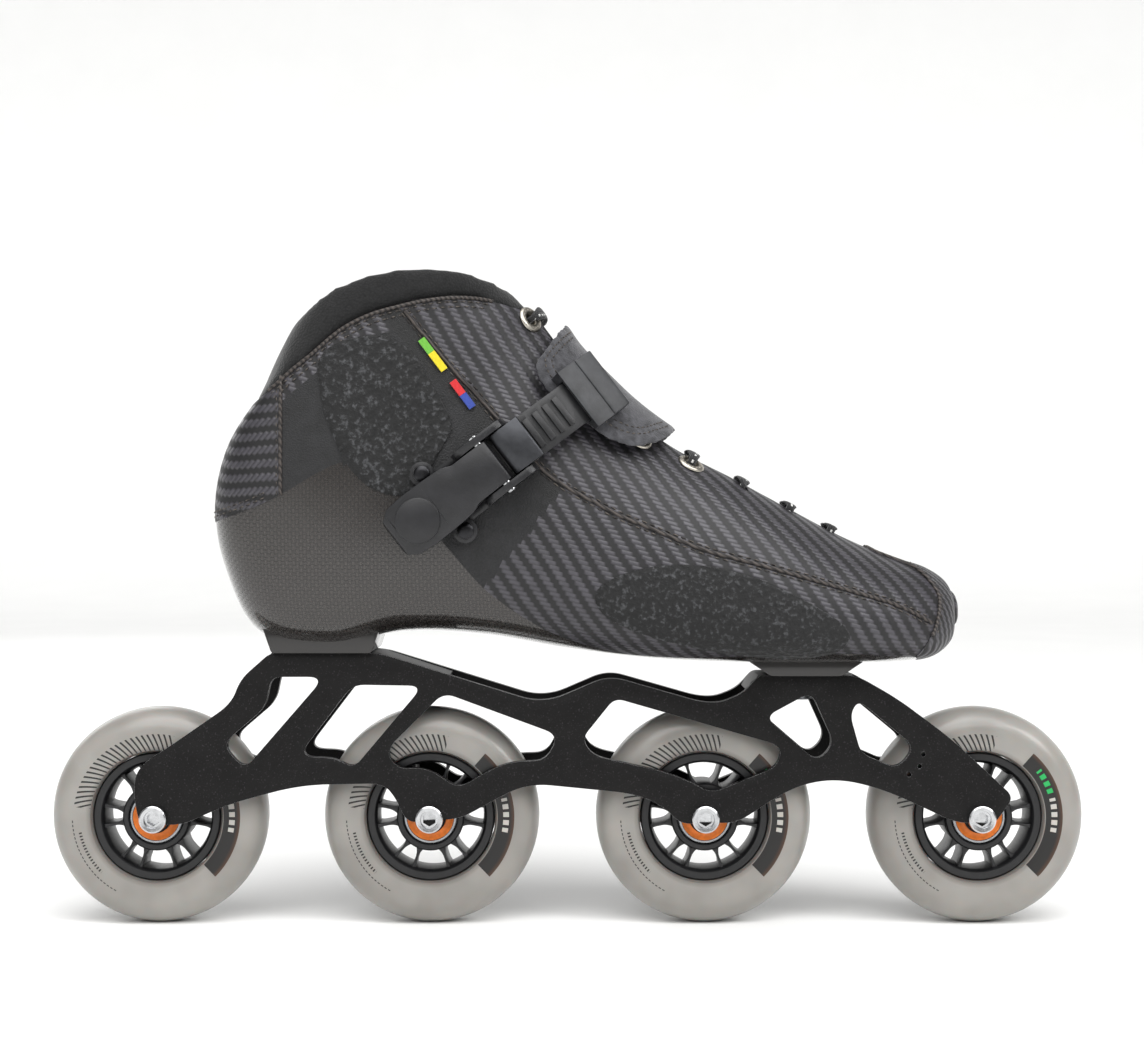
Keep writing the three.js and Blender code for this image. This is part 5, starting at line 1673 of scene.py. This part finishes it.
class SKATE_OT_strap(bpy.types.Operator):
    """Ladder strap, its keeper on the pad, and the strap on the inner side"""
    bl_idname = "skate.strap"
    bl_label = "Ladder strap and keeper"

    def execute(self, context):
        size = settings().fastening
        nylon = moulded_nylon("moulded_strap_nylon", tuple(size.strap), 0.6, 0.4)
        strap = bevelled(from_node("ladder_strap"), 0.28, 2, 24, choose=convex)
        made("ladder_strap_moulding", strap, [nylon], "strap", ["ladder_strap"], 30)
        halves = []
        for way in (1, -1):
            half = from_node("strap_keeper")
            bmesh.ops.transform(half, verts=half.verts, matrix=on_strap().inverted())
            turn = 51.0 / 100
            direction = Vector((math.cos(turn), 0, -math.sin(turn))) * way
            at = Vector((100 * math.sin(turn), 0, 100 * math.cos(turn) - 100)) + direction * 0.12
            bmesh.ops.bisect_plane(
                half, geom=half.verts[:] + half.edges[:] + half.faces[:], dist=1e-4, plane_co=at,
                plane_no=-direction, clear_outer=True)
            rim = [e for e in half.edges if e.is_boundary]
            bmesh.ops.triangle_fill(half, edges=rim, use_beauty=True)
            bmesh.ops.recalc_face_normals(half, faces=half.faces)
            halves.append(laid(bevelled(half, 0.9 if way > 0 else 0.8, 3, 35, choose=convex)))
        grey = moulded_nylon("moulded_keeper_nylon", tuple(size.keeper), 0.9, 0.45)
        made("split_strap_keeper", joined(*halves), [grey], "root", ["strap_keeper"], 35)
        line = []
        for u, v, run in ((-24, -9.15, 8), (40, -9.15, 0), (40, 9.15, 0), (-24, 9.15, 8)):
            place = on_strap() @ Vector((u, v, 0))
            line.append((place.x, place.z, run))
        line = rounded(line, 5)
        bm = skin(lambda x, y, z: (y > 0) & (x > 110) & (x < 200) & (z > 150), 2.6)
        cut(bm, line + line[:1])
        cut(bm, PAD_LINE)
        trim(bm, lambda x, y, z: inside(line, x, z) & ~inside(PAD_LINE, x, z))
        webbing = lining_cloth("coated_strap_webbing", linear("1c1c1e"), 0.8, 0.6)
        boot_piece("inner_side_strap", bm, [webbing], ["inner_strap"], 2.3, 0.5)
        seat = on_strap() @ Vector((-13, 0, 0))
        screw = turned([
            (0, 37.2), (2, 37.2), (2, 43.7), (4.6, 43.7), (4.6, 44.2), (3.9, 45.2), (2.6, 45.5),
            (0, 45.5)], 40, (seat.x, 0, seat.z))
        slot = hexagonal(1.5, 44.3, 47)
        bmesh.ops.translate(slot, verts=slot.verts, vec=(seat.x, 0, seat.z))
        made("strap_anchor_screw", carved(screw, slot), [turned_metal("plated_screw", "b9bbbe")], "root",
             ["anchor_screw"])
        return {"FINISHED"}


class SKATE_OT_buckle(bpy.types.Operator):
    """Ratchet buckle: base, lever with its round cap, pawl, pin and rivets"""
    bl_idname = "skate.buckle"
    bl_label = "Ratchet buckle"

    def execute(self, context):
        size = settings().fastening
        nylon = moulded_nylon("moulded_buckle_nylon", tuple(size.buckle), 0.6, 0.36)
        base = bevelled(from_node("buckle_base"), 0.5, 2, 35)
        made("buckle_base_moulding", base, [nylon], "root", ["buckle_base"], 35)
        lever = bevelled(from_node("buckle_lever"), 0.55, 2, 35)
        made("buckle_lever_moulding", lever, [nylon], "lever", ["buckle_lever"], 35)
        metal = turned_metal("die_cast_zinc", "4b4c4f", 0.36)
        pawl = bevelled(from_node("buckle_pawl"), 0.35, 2, 35)
        made("die_cast_pawl", pawl, [metal], "pawl", ["buckle_pawl"], 35)
        bright = turned_metal("polished_steel_pin", "d0d1d3", 0.18)
        shaft = turned(
            [(0, -13.3), (1.7, -13.3), (2, -13), (2, 13), (1.7, 13.3), (0, 13.3)], 40, (0, 0, 6.5))
        made("lever_pivot_pin", laid(shaft), [bright], "root", ["lever_pin"])
        blackened = turned_metal("blackened_rivet_steel", "3a3a3c", 0.3)
        for name, side in (("upper", 1), ("lower", -1)):
            rivet = pin([
                (0, 9.5), (2, 9.5), (2, 0.9), (3.4, 0.9), (3.3, 0.3), (2.7, -0.2), (1.5, -0.45), (0, -0.5)])
            bmesh.ops.scale(rivet, verts=rivet.verts, vec=(1, 1, -1))
            bmesh.ops.reverse_faces(rivet, faces=rivet.faces)
            bmesh.ops.translate(rivet, verts=rivet.verts, vec=(-24.8, side * 14.2, 0))
            made(f"domed_rivet_{name}", laid(rivet), [blackened], "root", [f"buckle_rivet_{name}"])
        return {"FINISHED"}


# ---- Stage ----

class SKATE_OT_stage(bpy.types.Operator):
    """Pale floor that sweeps up behind, soft lights and the camera"""
    bl_idname = "skate.stage"
    bl_label = "Stage"

    def execute(self, context):
        size = settings().stage
        bm = bmesh.new()
        bmesh.ops.create_grid(bm, x_segments=2, y_segments=60, size=1.0)
        for vert in bm.verts:
            run = (vert.co.y + 1) / 2 * 14 - 6
            bend = min(max(run - 3.0, 0.0), math.pi)
            rise = max(0.0, run - 3.0 - math.pi)
            y = min(run, 3.0) + 2.0 * math.sin(bend / 2) if bend < math.pi else 5.0
            z = 2.0 * (1 - math.cos(bend / 2)) if bend < math.pi else 2.0 + rise
            vert.co = (vert.co.x * 8, y, z)
        bmesh.ops.recalc_face_normals(bm, faces=bm.faces)
        mesh = bpy.data.meshes.new("studio_sweep")
        bm.to_mesh(mesh)
        bm.free()
        mesh.materials.append(painted_floor())
        mesh.shade_smooth()
        floor = bpy.data.objects.new("studio_sweep", mesh)
        bpy.context.scene.collection.objects.link(floor)
        middle = Vector((0.172, 0.0, 0.14))
        for name, place, across, power in (
                ("top_softbox", (0.25, -0.35, 1.7), 1.6, size.key * 2.2),
                ("front_softbox", (-0.9, -1.9, 1.0), 1.4, size.key * 0.9),
                ("side_softbox", (1.7, -1.0, 1.2), 0.8, size.key * 2.4),
                ("back_softbox", (-0.8, 1.5, 1.1), 1.2, size.key * 1.2)):
            data = bpy.data.lights.new(name, "AREA")
            data.size = across
            data.energy = power
            lamp = bpy.data.objects.new(name, data)
            lamp.location = place
            lamp.rotation_mode = "QUATERNION"
            lamp.rotation_quaternion = (Vector(place) - middle).to_track_quat("Z", "Y")
            bpy.context.scene.collection.objects.link(lamp)
        data = bpy.data.lights.new("sky_panel", "SUN")
        data.energy = size.sky
        data.angle = math.radians(60)
        lamp = bpy.data.objects.new("sky_panel", data)
        lamp.rotation_euler = (math.radians(38), 0, 0)
        bpy.context.scene.collection.objects.link(lamp)
        world = bpy.data.worlds.new("studio")
        world.use_nodes = True
        sky = world.node_tree.nodes["Background"]
        sky.inputs["Color"].default_value = linear("ffffff")
        seen = add_node(world.node_tree, "LightPath", out="Is Camera Ray")
        glow = add_node(world.node_tree, "MapRange", {"Value": seen, "To Min": 0.24, "To Max": 0.9})
        world.node_tree.links.new(glow, sky.inputs["Strength"])
        bpy.context.scene.world = world
        data = bpy.data.cameras.new("camera")
        data.lens = size.lens
        data.sensor_width = 36
        camera = bpy.data.objects.new("camera", data)
        camera.location = (0.1724, -size.distance, 0.1657)
        camera.rotation_euler = (math.pi / 2, 0, 0)
        bpy.context.scene.collection.objects.link(camera)
        bpy.context.scene.camera = camera
        bpy.context.scene.view_settings.view_transform = "Standard"
        return {"FINISHED"}


OPERATORS = (
    SKATE_OT_stage, SKATE_OT_wheels, SKATE_OT_bearings, SKATE_OT_axles, SKATE_OT_chassis, SKATE_OT_shell,
    SKATE_OT_upper, SKATE_OT_padding, SKATE_OT_patches, SKATE_OT_seams, SKATE_OT_lacing, SKATE_OT_strap,
    SKATE_OT_buckle,
)


class SKATE_PT_pieces(bpy.types.Panel):
    """Lists the skate's pieces and their settings"""
    bl_label = "Inline speed skate"
    bl_idname = "SKATE_PT_pieces"
    bl_space_type = "VIEW_3D"
    bl_region_type = "UI"
    bl_category = "Skate"

    def draw(self, context):
        skate = context.scene.skate
        for group in ("stage", "wheel", "chassis", "boot", "fastening"):
            box = self.layout.box()
            box.label(text=group.capitalize())
            sizes = getattr(skate, group)
            for name in sizes.__annotations__:
                box.prop(sizes, name)
        for operator in OPERATORS:
            self.layout.operator(operator.bl_idname)


CLASSES = (
    WheelSettings, ChassisSettings, BootSettings, FasteningSettings, StageSettings, SkateSettings,
    *OPERATORS, SKATE_PT_pieces,
)


def register():
    for item in CLASSES:
        bpy.utils.register_class(item)
    bpy.types.Scene.skate = PointerProperty(type=SkateSettings)


def unregister():
    del bpy.types.Scene.skate
    for item in reversed(CLASSES):
        bpy.utils.unregister_class(item)


def main():
    register()
    for operator in OPERATORS:
        group, name = operator.bl_idname.split(".")
        getattr(getattr(bpy.ops, group), name)()
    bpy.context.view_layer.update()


if __name__ == "__main__":
    main()
